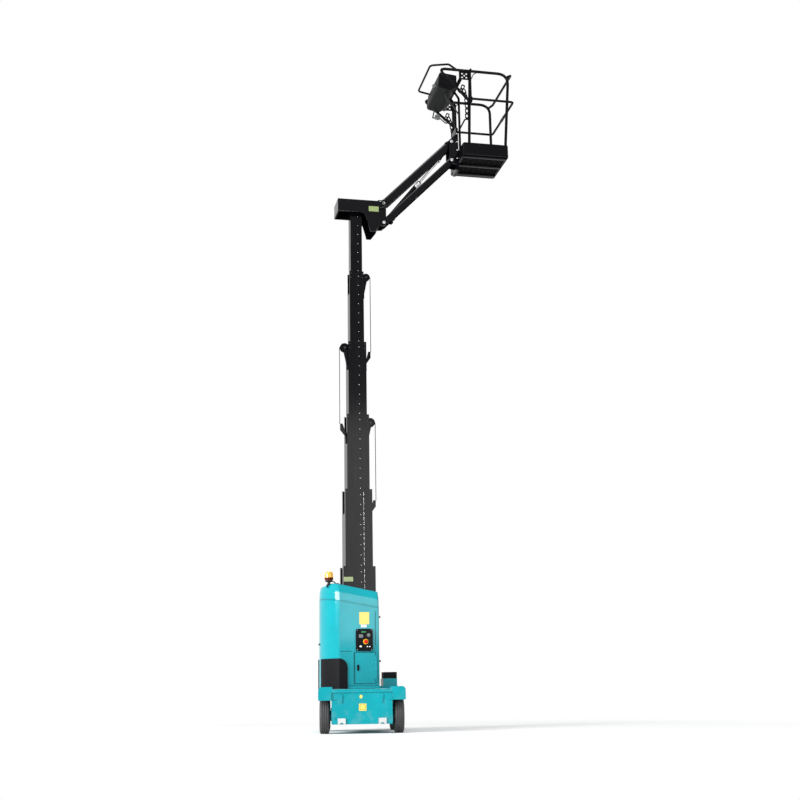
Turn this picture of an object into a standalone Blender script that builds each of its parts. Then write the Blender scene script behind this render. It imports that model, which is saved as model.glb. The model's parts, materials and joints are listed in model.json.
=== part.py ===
"""Self-propelled vertical mast lift with a jib, mast fully raised and jib up.

Frame: metres, +Z up, ground at z = 0, slew axis through the origin.
+X is the way the jib points, the wheel axles lie along X and the machine travels along Y.
"""
import math

import bmesh
import bpy
from mathutils import Matrix, Vector

for old in list(bpy.data.objects):
    bpy.data.objects.remove(old, do_unlink=True)

# Driving dimensions.
GAP = 0.0003

TYRE_R = 0.200
TYRE_W = 0.115
TRACK_X = 0.4275                 # wheel centre from the middle
AXLE_Y = 0.600                   # half the wheelbase
BODY_HALF = 0.345                # chassis body between the wheels
NOSE_HALF = 0.215                # narrow part between the steered wheels
NOSE_FROM = AXLE_Y - 0.300
CHASSIS_Y = AXLE_Y + 0.212
CLEARANCE = 0.105
FRAME_TOP = 0.455
DECK_TOP = FRAME_TOP + 0.023
FENDER_TOP = FRAME_TOP + 0.065
FENDER_OUT = TRACK_X + 0.0725
KINGPIN_X = TRACK_X - 0.0875
STUB_X = TRACK_X + 0.038        # outer end of each wheel stub
STUB_R = 0.0295                  # wheel stub inside the hub's bore

SLEW_R = 0.230
TABLE_BOTTOM = DECK_TOP + 0.022
TABLE_TOP = TABLE_BOTTOM + 0.030
TAIL_R = 0.500
HOOD_HALF = 0.385
HOOD_FRONT = 0.158
SHEET = 0.012
CREASE_TAIL, CREASE_FRONT = 1.560, 1.440
CAP_TAIL, CAP_PEAK, CAP_FRONT = 1.690, 1.735, 1.630
RIDGE_X = -0.370
BEACON_X = RIDGE_X - 0.015
BEACON_Z = CAP_PEAK + 0.065      # top of the beacon's base
DOOR_X0, DOOR_X1 = -0.137, 0.112
DOOR_Z0, DOOR_Z1 = TABLE_TOP + 0.030, TABLE_TOP + 0.385
HINGE_X, HINGE_Y = DOOR_X1 + 0.007, HOOD_HALF + 0.008

MAST_X = -0.027
MAST_TOP = 1.960                 # top of the fixed section
STAGE = 0.957                    # rise of each section top over the one before
SECTION_LEN = 1.400
MAST_W = (0.400, 0.341, 0.283, 0.234, 0.184, 0.152)
MAST_D = (0.270, 0.245, 0.220, 0.195, 0.170, 0.145)
WALL = 0.008
NOTCH_HALF = 0.066
NOTCH_DEPTH = 0.300
PULLEY_R = {2: 0.060, 3: 0.060, 4: 0.050}
ANCHOR_DROP = 0.115
LANE = 0.035
WELL_X0 = MAST_X - MAST_W[0] / 2 - 0.078      # opening in the hood round the mast
WELL_HALF = MAST_D[0] / 2 + 0.035

HEAD_TOP = MAST_TOP + 5 * STAGE + 0.012
HEAD_BOTTOM = HEAD_TOP - 0.173
HEAD_X0, HEAD_X1 = -0.281, 0.280
HEAD_HALF = 0.156

SLEW_REST = math.radians(9.2)
JIB_X = HEAD_X1 + 0.060
JIB_Z = HEAD_TOP - 0.007
JIB_DROP = 0.270                 # lower pivot under the upper one
JIB_LEN = 1.360
JIB_ANGLE = math.radians(45.5)
JIB_END_X = JIB_X + JIB_LEN * math.cos(JIB_ANGLE)
JIB_END_Z = JIB_Z + JIB_LEN * math.sin(JIB_ANGLE)
BASE_PIN = (JIB_X + 0.030, JIB_Z - 0.230)
EYE_X, EYE_DROP = 1.090, 0.056      # rod's pin, along the upper bar and below its middle
EYE_R = math.hypot(EYE_X, EYE_DROP)
EYE_ANGLE = JIB_ANGLE - math.atan2(EYE_DROP, EYE_X)
BARREL_R = 0.032
BARREL_LEN = 0.780
ROD_R = 0.016

FLOOR_X0 = JIB_END_X + 0.0937634
FLOOR_X1 = FLOOR_X0 + 0.628
FLOOR_HALF = 0.362
FLOOR_Z = JIB_END_Z - 0.3040206
FLOOR_TOP = FLOOR_Z + 0.030
TOE_TOP = FLOOR_Z + 0.184
RAIL_Z = FLOOR_Z + 1.184
RAIL_HALF = FLOOR_HALF + 0.093
RAIL_R = 0.019
MID_Z = FLOOR_Z + 0.754
MID_POST = FLOOR_X0 + 0.091
END_X = FLOOR_X1 + 0.047
CROSS_X = FLOOR_X0 - 0.060       # console side of the bar across the rails
BAR_Y = RAIL_HALF + RAIL_R + 0.028  # entry bar, outside the flared frames

MATERIALS = {
    "teal": ((0.03, 0.36, 0.42), 0.35, 0.0),
    "hub_grey": ((0.30, 0.31, 0.32), 0.5, 0.2),
    "black": ((0.012, 0.012, 0.013), 0.5, 0.0),
    "rubber": ((0.03, 0.03, 0.032), 0.85, 0.0),
    "mast_black": ((0.020, 0.021, 0.023), 0.35, 0.0),
    "steel": ((0.45, 0.46, 0.47), 0.35, 1.0),
    "chrome": ((0.8, 0.8, 0.8), 0.12, 1.0),
    "cast_iron": ((0.08, 0.08, 0.085), 0.6, 0.3),
    "amber": ((0.9, 0.33, 0.02), 0.2, 0.0),
    "rail_black": ((0.022, 0.023, 0.025), 0.38, 0.0),
    "jib_black": ((0.030, 0.031, 0.036), 0.3, 0.0),
    "console_grey": ((0.055, 0.058, 0.062), 0.55, 0.0),
}


def material(name):
    """Principled material of the given finish, made once."""
    found = bpy.data.materials.get(name)
    if found:
        return found
    colour, rough, metal = MATERIALS[name]
    mat = bpy.data.materials.new(name)
    mat.use_nodes = True
    shader = mat.node_tree.nodes["Principled BSDF"]
    shader.inputs["Base Color"].default_value = (*colour, 1.0)
    shader.inputs["Roughness"].default_value = rough
    shader.inputs["Metallic"].default_value = metal
    return mat


def solid(mesh_bm):
    """Temporary object of a bmesh, with its faces turned outwards."""
    bmesh.ops.recalc_face_normals(mesh_bm, faces=mesh_bm.faces)
    mesh = bpy.data.meshes.new("tmp")
    mesh_bm.to_mesh(mesh)
    mesh_bm.free()
    obj = bpy.data.objects.new("tmp", mesh)
    bpy.context.scene.collection.objects.link(obj)
    return obj


def loft(rings):
    """Closed body through rings of equal length, capped at both ends."""
    bm = bmesh.new()
    loops = [[bm.verts.new(p) for p in ring] for ring in rings]
    count = len(loops[0])
    for a, b in zip(loops, loops[1:]):
        for i in range(count):
            j = (i + 1) % count
            bm.faces.new((a[i], a[j], b[j], b[i]))
    bm.faces.new(loops[0][::-1])
    bm.faces.new(loops[-1])
    return solid(bm)


def box(x0, x1, y0, y1, z0, z1):
    """Block between its corner coordinates."""
    ring = [(x0, y0), (x1, y0), (x1, y1), (x0, y1)]
    return loft([[(x, y, z) for x, y in ring] for z in (z0, z1)])


def prism(points, axis, a, b):
    """Polygon pushed along an axis: points are (y, z), (x, z) or (x, y)."""
    if axis == "x":
        rings = [[(t, u, v) for u, v in points] for t in (a, b)]
    elif axis == "y":
        rings = [[(u, t, v) for u, v in points] for t in (a, b)]
    else:
        rings = [[(u, v, t) for u, v in points] for t in (a, b)]
    return loft(rings)


def frame_of(direction):
    """Two unit vectors square to a direction, level where that is possible."""
    d = Vector(direction).normalized()
    side = Vector((0, 0, 1)).cross(d)
    if side.length < 1e-6:
        side = Vector((1, 0, 0))
    side.normalize()
    return side, d.cross(side)


def turned(profile, centre, axis, n=24, ring=False):
    """Solid of revolution: profile of (radius, distance along the axis)."""
    side, up = frame_of(axis)
    d = Vector(axis).normalized()
    c = Vector(centre)
    bm = bmesh.new()
    loops = []
    for r, t in profile:
        loops.append([bm.verts.new(c + d * t + (side * math.cos(a) + up * math.sin(a)) * r)
                      for a in (2 * math.pi * i / n for i in range(n))])
    pairs = list(zip(loops, loops[1:]))
    if ring:
        pairs.append((loops[-1], loops[0]))
    for a, b in pairs:
        for i in range(n):
            j = (i + 1) % n
            bm.faces.new((a[i], a[j], b[j], b[i]))
    if not ring:
        bm.faces.new(loops[0][::-1])
        bm.faces.new(loops[-1])
    return solid(bm)


def rod(p, q, r, n=16):
    """Round bar between two points."""
    length = (Vector(q) - Vector(p)).length
    return turned([(r, 0.0), (r, length)], p, Vector(q) - Vector(p), n)


def rounded(points, bend, steps=4):
    """Path through the points with its inner corners rounded."""
    pts = [Vector(p) for p in points]
    out = [pts[0]]
    for a, b, c in zip(pts, pts[1:], pts[2:]):
        u, v = (a - b).normalized(), (c - b).normalized()
        half = u.angle(v) / 2
        cut = min(bend / math.tan(half), 0.45 * (a - b).length, 0.45 * (c - b).length)
        p, q = b + u * cut, b + v * cut
        for i in range(steps + 1):
            t = i / steps
            out.append(p * (1 - t) ** 2 + b * 2 * t * (1 - t) + q * t ** 2)
    out.append(pts[-1])
    return out


def tube(points, r, bend=0.06, n=10, steps=4):
    """Round tube swept along a path with rounded corners."""
    path = rounded(points, bend, steps) if len(points) > 2 else [Vector(p) for p in points]
    side, up = frame_of(path[1] - path[0])
    rings = []
    last = (path[1] - path[0]).normalized()
    for i, p in enumerate(path):
        ahead = (path[min(i + 1, len(path) - 1)] - path[max(i - 1, 0)]).normalized()
        turn = last.rotation_difference(ahead)
        side, up = turn @ side, turn @ up
        last = ahead
        rings.append([p + (side * math.cos(a) + up * math.sin(a)) * r
                      for a in (2 * math.pi * (k + 0.5) / n for k in range(n))])
    return loft(rings)


def combine(target, other, operation):
    """One Boolean step between two temporary objects."""
    step = target.modifiers.new("step", "BOOLEAN")
    step.operation = operation
    step.solver = "EXACT"
    step.object = other
    graph = bpy.context.evaluated_depsgraph_get()
    mesh = bpy.data.meshes.new_from_object(target.evaluated_get(graph))
    target.modifiers.clear()
    bm = bmesh.new()
    bm.from_mesh(mesh)
    bmesh.ops.remove_doubles(bm, verts=bm.verts, dist=2e-6)
    bm.to_mesh(mesh)
    bm.free()
    target.data = mesh
    bpy.data.objects.remove(other, do_unlink=True)


def piece(name, finish, bodies, cuts=(), origin=(0, 0, 0), turn=0.0, smooth=True):
    """Named object of joined bodies less its cuts, its origin on its joint.

    With a turn the bodies are drawn about the origin and then turned about Y."""
    base = bodies[0]
    for other in bodies[1:]:
        combine(base, other, "UNION")
    for cutter in cuts:
        combine(base, cutter, "DIFFERENCE")
    base.name = name
    base.data.name = name
    base.data.materials.clear()
    base.data.materials.append(material(finish))
    if turn:
        base.rotation_euler = (0, -turn, 0)
    else:
        base.data.transform(Matrix.Translation(-Vector(origin)))
    base.location = origin
    if smooth:
        base.data.shade_smooth()
        base.data.set_sharp_from_angle(angle=math.radians(35))
    return base


def carrier(name, location):
    """Empty that stands for a moving assembly, on its joint's axis."""
    empty = bpy.data.objects.new(name, None)
    empty.empty_display_size = 0.1
    empty.location = location
    bpy.context.scene.collection.objects.link(empty)
    return empty


# Chassis.

def chassis():
    plan = [(-BODY_HALF, -CHASSIS_Y), (BODY_HALF, -CHASSIS_Y), (BODY_HALF, NOSE_FROM),
            (NOSE_HALF, NOSE_FROM + 0.04), (NOSE_HALF, CHASSIS_Y), (-NOSE_HALF, CHASSIS_Y),
            (-NOSE_HALF, NOSE_FROM + 0.04), (-BODY_HALF, NOSE_FROM)]
    bodies = [prism(plan, "z", CLEARANCE, FRAME_TOP)]
    for s in (-1, 1):
        bodies.append(rod((s * (BODY_HALF - 0.03), -AXLE_Y, TYRE_R), (s * (BODY_HALF + 0.023), -AXLE_Y, TYRE_R),
                          0.060, 20))
        bodies.append(rod((s * BODY_HALF, -AXLE_Y, TYRE_R), (s * STUB_X, -AXLE_Y, TYRE_R), STUB_R, 24))
    beam_z = (TYRE_R - 0.075, TYRE_R + 0.075)
    for s in (-1, 1):
        x0, x1 = sorted((s * (NOSE_HALF - 0.03), s * (KINGPIN_X + 0.026)))
        for low, high in ((beam_z[0], beam_z[0] + 0.022), (beam_z[1] - 0.022, beam_z[1])):
            bodies.append(box(x0, x1, AXLE_Y - 0.028, AXLE_Y + 0.028, low, high))
    cuts = []
    for s in (-1, 1):
        cuts.append(rod((s * KINGPIN_X, AXLE_Y, TYRE_R - 0.12), (s * KINGPIN_X, AXLE_Y, TYRE_R + 0.12), 0.0128))
    frame = piece("chassis_frame", "teal", bodies, cuts)

    lip = FRAME_TOP + 0.015
    deck = [box(-BODY_HALF, BODY_HALF, -CHASSIS_Y - 0.013, CHASSIS_Y, FRAME_TOP + GAP, DECK_TOP)]
    cuts = []
    for s in (-1, 1):
        for end in (-1, 1):
            x0, x1 = sorted((s * (BODY_HALF - 0.010), s * FENDER_OUT))
            y0, y1 = sorted((end * (AXLE_Y - 0.206), end * (AXLE_Y + 0.226)))
            low = FRAME_TOP - (0.085 if end < 0 else 0.030)
            roof = box(x0, x1, y0, y1, FRAME_TOP + GAP, FENDER_TOP)
            deck.append(roof)
            if end < 0:
                deck.append(box(*sorted((s * (BODY_HALF + 0.003), s * FENDER_OUT)), y0, y0 + 0.012, low, lip))
            skirt = lip - 0.06 if end < 0 else low
            deck.append(box(*sorted((s * (FENDER_OUT - 0.009), s * FENDER_OUT)), y0, y1, skirt, lip))
            far = y1 + (0.02 if end < 0 else -0.012)
            cuts.append(box(*sorted((s * (BODY_HALF + 0.003), s * (FENDER_OUT - 0.009))), y0 + 0.012, far,
                            FENDER_TOP - 0.22, FENDER_TOP - 0.012))
    cover = piece("chassis_deck", "teal", deck, cuts)
    return frame, cover


def tie_plates():
    """Two lashing plates at the near end, each arched over at its foot."""
    made = []
    y0, y1 = -CHASSIS_Y - 0.0135, -CHASSIS_Y - GAP
    for side, x in (("left", -0.232), ("right", 0.232)):
        foot = CLEARANCE - 0.007
        arch = rod((x, y0 - 0.01, foot), (x, y1 + 0.01, foot), 0.026, 16)
        plate = box(x - 0.045, x + 0.045, y0, y1, foot, foot + 0.074)
        made.append(piece(f"tie_plate_{side}", "steel", [plate], [arch]))
    return made


def wheel(name, s, y):
    """Solid tyre and its hub, turning about the wheel's axis."""
    centre = Vector((s * TRACK_X, y, TYRE_R))
    half = TYRE_W / 2
    profile = [(0.128, -half + 0.012), (0.185, -half), (0.196, -half + 0.007), (TYRE_R, -half + 0.022),
               (TYRE_R, half - 0.022), (0.196, half - 0.007), (0.185, half), (0.128, half - 0.012)]
    tyre = piece(f"tyre_{name}", "rubber", [turned(profile, centre, (1, 0, 0), 32, ring=True)], origin=centre)
    r = 0.128 - GAP
    rim = [(r, -0.040), (r, 0.040), (0.112, 0.040), (0.104, 0.018), (0.060, 0.010), (0.056, 0.034),
           (0.030, 0.038), (0.030, -0.052), (0.056, -0.046), (0.100, -0.010)]
    if s < 0:
        rim = [(radius, -t) for radius, t in rim]
    hub = piece(f"hub_{name}", "hub_grey", [turned(rim, centre, (1, 0, 0), 32, ring=True)], origin=centre)
    return tyre, hub


def knuckle(name, s):
    """Steering knuckle between the beam's ears, with the wheel's stub."""
    z = TYRE_R
    bodies = [rod((s * KINGPIN_X, AXLE_Y, z - 0.053 + GAP), (s * KINGPIN_X, AXLE_Y, z + 0.053 - GAP), 0.024, 16),
              rod((s * KINGPIN_X, AXLE_Y, z - 0.085), (s * KINGPIN_X, AXLE_Y, z + 0.085), 0.012, 16),
              rod((s * KINGPIN_X, AXLE_Y, z), (s * STUB_X, AXLE_Y, z), STUB_R, 24)]
    return piece(f"steer_knuckle_{name}", "cast_iron", bodies, origin=(s * KINGPIN_X, AXLE_Y, z))


# Turntable.

def d_plan(radius, half, front, steps=14):
    """D-shaped plan: a round tail, two flat sides and a flat front."""
    turn = math.asin(half / radius)
    arc = [math.pi + turn * (2 * i / steps - 1) for i in range(steps + 1)]
    plan = [(radius * math.cos(a), radius * math.sin(a)) for a in arc]
    return [(front, half)] + plan + [(front, -half)]


def slope(x, tail, front):
    return tail + (front - tail) * (x + TAIL_R) / (HOOD_FRONT + TAIL_R)


def turntable():
    made = []
    ring = turned([(0.08, DECK_TOP + GAP), (0.08, TABLE_BOTTOM - GAP), (SLEW_R, TABLE_BOTTOM - GAP),
                   (SLEW_R, DECK_TOP + GAP)], (0, 0, 0), (0, 0, 1), 32, ring=True)
    made.append(piece("slew_ring", "steel", [ring]))

    plate = prism(d_plan(TAIL_R, HOOD_HALF, HOOD_FRONT), "z", TABLE_BOTTOM, TABLE_TOP)
    tongue = box(0.10, 0.435, -0.110, 0.110, TABLE_BOTTOM, TABLE_TOP)
    made.append(piece("turntable_deck", "teal", [plate, tongue]))

    # Hood sides and tail in one bent sheet round the mast, open at the top.
    outer = d_plan(TAIL_R, HOOD_HALF, HOOD_FRONT)
    inner = d_plan(TAIL_R - SHEET, HOOD_HALF - SHEET, HOOD_FRONT - SHEET)
    low = TABLE_TOP + GAP
    shell = loft([[(x, y, low) for x, y in outer],
                  [(x, y, slope(x, CREASE_TAIL, CREASE_FRONT)) for x, y in outer]])
    room = loft([[(x, y, low - 0.1) for x, y in inner],
                 [(x, y, 2.0) for x, y in inner]])
    cuts = [room, box(HOOD_FRONT - 0.058, 0.30, -WELL_HALF, WELL_HALF, low - 0.1, 2.0)]
    for s in (-1, 1):
        y0, y1 = sorted((s * (HOOD_HALF - 0.025), s * (HOOD_HALF + 0.035)))
        cuts.append(box(DOOR_X0 - 0.004, DOOR_X1 + 0.001, y0, y1, DOOR_Z0 - 0.004, DOOR_Z1 + 0.004))
    for cutter in cuts:
        combine(shell, cutter, "DIFFERENCE")
    lugs = []
    for s in (-1, 1):
        for z0, z1 in ((DOOR_Z0 + 0.005, DOOR_Z0 + 0.03 - GAP), (DOOR_Z1 - 0.03 + GAP, DOOR_Z1 - 0.005)):
            y0, y1 = sorted((s * (HOOD_HALF - 0.004), s * (HINGE_Y + 0.005)))
            lugs.append(box(HINGE_X - 0.003, HINGE_X + 0.010, y0, y1, z0, z1))
    made.append(piece("hood_shell", "teal", [shell] + lugs))

    # Cap: a shallow lid with leaning shoulders, a ridged roof and a well for the mast.
    def ring_at(inset, level):
        plan = d_plan(TAIL_R - inset, HOOD_HALF - inset * 1.5, HOOD_FRONT - inset * 0.2)
        return [(x, y, slope(x, CREASE_TAIL, CREASE_FRONT) + level) for x, y in plan]

    rise = CAP_PEAK - CREASE_TAIL + 0.085
    lid = loft([ring_at(0, GAP), ring_at(0.006, 0.10), ring_at(0.050, rise)])
    room = loft([ring_at(SHEET, -0.05), ring_at(SHEET + 0.006, 0.10), ring_at(SHEET + 0.050, rise)])
    combine(lid, above_roof(0), "DIFFERENCE")
    combine(room, above_roof(-SHEET), "DIFFERENCE")
    well = box(WELL_X0, 0.30, -WELL_HALF, WELL_HALF, 1.2, 2.2)
    made.append(piece("hood_cap", "teal", [lid], [room, well]))

    for label, s in (("near", -1), ("far", 1)):
        made.append(corner_moulding(label, s))
        made.append(door(label, s))
        y0, y1 = sorted((s * (HOOD_HALF - 0.185), s * (HOOD_HALF - 0.030)))
        block = box(-0.130, 0.105, y0, y1, TABLE_TOP + GAP, TABLE_TOP + 0.370)
        made.append(piece(f"battery_block_{label}", "black", [block]))

    weight = d_plan(TAIL_R - 0.030, HOOD_HALF - 0.055, WELL_X0 - 0.005)
    made.append(piece("counterweight", "cast_iron", [prism(weight, "z", TABLE_TOP + GAP, TABLE_TOP + 0.620)]))

    face = -HOOD_HALF - GAP
    plan = rounded_plan(-0.124, 0.078, TABLE_TOP + 0.402, TABLE_TOP + 0.660, 0.022)
    panel = prism(plan, "y", face - 0.022, face)
    button = rod((-0.008, face - 0.020, TABLE_TOP + 0.510), (-0.008, face - 0.040, TABLE_TOP + 0.510), 0.020, 16)
    made.append(piece("ground_control_panel", "black", [panel, button]))

    pad = TABLE_TOP + 0.086
    rest = box(0.262, 0.432, -0.085, 0.085, TABLE_TOP + GAP, pad)
    made.append(piece("rest_pedestal", "teal", [rest]))
    made.append(piece("rest_pad", "black", [box(0.272, 0.432, -0.075, 0.075, pad + GAP, pad + 0.076)]))

    z = BEACON_Z
    foot = turned([(0.046, z - 0.200), (0.046, z - 0.007), (0.040, z - GAP)], (BEACON_X, 0, 0), (0, 0, 1), 20)
    made.append(piece("beacon_base", "black", [foot], [below_roof(GAP)]))
    lens = turned([(0.048, z), (0.050, z + 0.080), (0.036, z + 0.104)], (BEACON_X, 0, 0), (0, 0, 1), 20)
    made.append(piece("beacon_lens", "amber", [lens]))
    return made


def rounded_plan(u0, u1, v0, v1, r, steps=3):
    """Rectangle with rounded corners, as a list of points."""
    points = []
    for cu, cv, start in ((u1 - r, v1 - r, 0), (u0 + r, v1 - r, 1), (u0 + r, v0 + r, 2), (u1 - r, v0 + r, 3)):
        for i in range(steps + 1):
            a = math.pi / 2 * (start + i / steps)
            points.append((cu + r * math.cos(a), cv + r * math.sin(a)))
    return points


def roof_line(rise):
    """Side profile of the hood's roof: a short climb to the ridge, then a long fall."""
    return [(-0.60, CAP_TAIL + rise - 0.015), (RIDGE_X, CAP_PEAK + rise), (0.30, CAP_FRONT + rise - 0.03)]


def above_roof(rise):
    return prism(roof_line(rise) + [(0.30, 2.4), (-0.60, 2.4)], "y", -0.6, 0.6)


def below_roof(rise):
    return prism(roof_line(rise) + [(0.30, 1.0), (-0.60, 1.0)], "y", -0.6, 0.6)


def corner_moulding(label, s):
    """Black guard round the lower tail corner, with a rounded upper corner."""
    r0, r1 = TAIL_R - 0.006, TAIL_R + SHEET
    h0, h1 = HOOD_HALF - 0.006, HOOD_HALF + SHEET
    end = -0.225
    turn0, turn1 = math.asin(h0 / r0), math.asin(h1 / r1)
    steps = 8
    first = math.radians(12)
    inner = [(r0 * math.cos(math.pi - a), r0 * math.sin(math.pi - a))
             for a in (first + (turn0 - first) * i / steps for i in range(steps + 1))] + [(end, h0)]
    outer = [(r1 * math.cos(math.pi - a), r1 * math.sin(math.pi - a))
             for a in (first + (turn1 - first) * i / steps for i in range(steps + 1))] + [(end, h1)]
    plan = [(x, s * y) for x, y in inner + outer[::-1]]
    body = prism(plan, "z", TABLE_BOTTOM + GAP, TABLE_TOP + 0.320)
    wall = prism(d_plan(TAIL_R + GAP, HOOD_HALF + GAP, 0.1), "z", 0.4, 1.0)
    notch = []
    for i in range(7):
        a = math.pi / 2 * i / 6
        notch.append((end - 0.10 + 0.10 * math.cos(a), TABLE_TOP + 0.21 + 0.11 * math.sin(a)))
    notch += [(end - 0.10, TABLE_TOP + 0.37), (end + 0.02, TABLE_TOP + 0.37), (end + 0.02, TABLE_TOP + 0.21)]
    corner = prism(notch, "y", *sorted((s * (HOOD_HALF - 0.135), s * (HOOD_HALF + 0.065))))
    return piece(f"corner_moulding_{label}", "black", [body], [wall, corner])


def door(label, s):
    """Side door with a hinge barrel at its mast-side edge."""
    y0, y1 = sorted((s * (HOOD_HALF - SHEET), s * HOOD_HALF))
    leaf = box(DOOR_X0, DOOR_X1 - 0.003, y0, y1, DOOR_Z0, DOOR_Z1)
    barrel = rod((HINGE_X, s * HINGE_Y, DOOR_Z0 + 0.03), (HINGE_X, s * HINGE_Y, DOOR_Z1 - 0.03), 0.0065, 12)
    root = box(DOOR_X1 - 0.032, DOOR_X1 - 0.004, *sorted((s * (HOOD_HALF - 0.004), s * (HINGE_Y - 0.002))),
               DOOR_Z0 + 0.05, DOOR_Z1 - 0.05)
    arm = box(DOOR_X1 - 0.020, HINGE_X, *sorted((s * (HOOD_HALF + 0.0015), s * (HINGE_Y - 0.002))),
              DOOR_Z0 + 0.05, DOOR_Z1 - 0.05)
    return piece(f"side_door_{label}", "teal", [leaf, root, arm, barrel], origin=(HINGE_X, s * HINGE_Y, DOOR_Z0))


# Mast.

def section_top(k):
    return MAST_TOP + STAGE * k


def pulley_x(k):
    """Pulley centre of section k from the mast's middle: outside the next section."""
    return MAST_W[k + 1] / 2 + 0.005 + PULLEY_R[k]


def pulley_side(k):
    return -1 if k % 2 else 1


def pulley_lane(k):
    return LANE if k == 2 else -LANE


def section(k):
    """Rectangular mast tube with guide pads, notched at the top for the chains."""
    w, d = MAST_W[k] / 2, MAST_D[k] / 2
    top = section_top(k)
    low = TABLE_TOP + GAP if k == 0 else top - SECTION_LEN
    if k == 5:
        top = HEAD_TOP - SHEET - GAP
        low = section_top(5) - SECTION_LEN
    x = MAST_X
    bodies = [box(x - w, x + w, -d, d, low, top)]
    if k:
        # Guide pads at the foot, up to the section outside.
        gx = MAST_W[k - 1] / 2 - WALL - 0.0008
        gy = MAST_D[k - 1] / 2 - WALL - 0.0008
        bodies.append(box(x - gx, x + gx, -d * 0.6, d * 0.6, low + 0.01, low + 0.09))
        bodies.append(box(x - w * 0.6, x + w * 0.6, -gy, gy, low + 0.01, low + 0.09))
    room = box(x - w + WALL, x + w - WALL, -d + WALL, d - WALL, low - 0.1, top + 0.1)
    cuts = [room]
    if k < 5:
        cuts.append(box(x - w - 0.1, x + w + 0.1, -NOTCH_HALF, NOTCH_HALF, top - NOTCH_DEPTH, top + 0.1))
    base = bodies[0]
    for other in bodies[1:]:
        combine(base, other, "UNION")
    for cutter in cuts:
        combine(base, cutter, "DIFFERENCE")
    extra = []
    if k in PULLEY_R:
        s, y, r = pulley_side(k), pulley_lane(k), PULLEY_R[k]
        px, pz = s * pulley_x(k), top - 0.015 - r
        for t in (-1, 1):
            yc = y + t * 0.022
            wall = s * (w - 0.004)
            out = s * (w + 0.012)
            profile = [(wall, top - 0.36), (out, top - 0.36), (out, top - 0.30), (px + s * 0.016, pz - 0.02),
                       (px + s * 0.016, pz + 0.014), (px - s * 0.016, pz + 0.016), (wall, pz - 0.05)]
            if MAST_W[k] / 2 > pulley_x(k) - 0.016:
                profile[-1] = (px - s * 0.016, pz - 0.05)
                profile.append((wall, top - 0.29))
            extra.append(prism([(x + u, v) for u, v in profile], "y", yc - 0.003, yc + 0.003))
        extra.append(rod((x + px, y - 0.026, pz), (x + px, y + 0.026, pz), 0.010, 16))
    if k + 1 in PULLEY_R:
        # Chain anchor: an arm from below the notch out to the next section's chain.
        s, y = pulley_side(k + 1), pulley_lane(k + 1)
        out = pulley_x(k + 1) + PULLEY_R[k + 1]
        high = top - ANCHOR_DROP
        profile = [(w - 0.004, top - 0.370), (w + 0.012, top - 0.370), (w + 0.012, high - 0.160),
                   (out, high - 0.080), (out, high), (out - 0.030, high), (w - 0.004, high - 0.150)]
        extra.append(prism([(x + s * u, v) for u, v in profile], "y", y - 0.012, y + 0.012))
    if k < 5:
        # Guide pads inside the top of the front and back walls.
        gy = MAST_D[k + 1] / 2 + 0.0008
        half = MAST_W[k + 1] / 2 * 0.6
        for t in (-1, 1):
            y0, y1 = sorted((t * gy, t * (d - WALL / 2)))
            extra.append(box(x - half, x + half, y0, y1, top - 0.10, top - 0.02))
    return piece(f"mast_section_{k}", "mast_black", [base] + extra, origin=(x, 0, low))


def pulley(k):
    top, r = section_top(k), PULLEY_R[k]
    centre = (MAST_X + pulley_side(k) * pulley_x(k), pulley_lane(k), top - 0.015 - r)
    profile = [(0.0106, -0.016), (r, -0.016), (r - 0.007, -0.006), (r - 0.007, 0.006), (r, 0.016), (0.0106, 0.016)]
    return piece(f"chain_pulley_{k}", "black", [turned(profile, centre, (0, 1, 0), 28, ring=True)], origin=centre)


def strand(k):
    """Lift chain from the anchor of section k - 1 up to the pulley of section k."""
    side, y, r = pulley_side(k), pulley_lane(k), PULLEY_R[k]
    x = MAST_X + side * (pulley_x(k) + r + 0.0005)
    low = section_top(k - 1) - ANCHOR_DROP + GAP
    x0, x1 = sorted((x, x + side * -0.008))
    chain = box(x0, x1, y - 0.010, y + 0.010, low, section_top(k) - 0.015 - r)
    if side > 0:
        chain.data.transform(Matrix.Translation((0.008, 0, 0)))
    else:
        chain.data.transform(Matrix.Translation((-0.008, 0, 0)))
    return piece(f"lift_chain_{k}", "steel", [chain])


# Head, jib and their cylinder.

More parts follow.
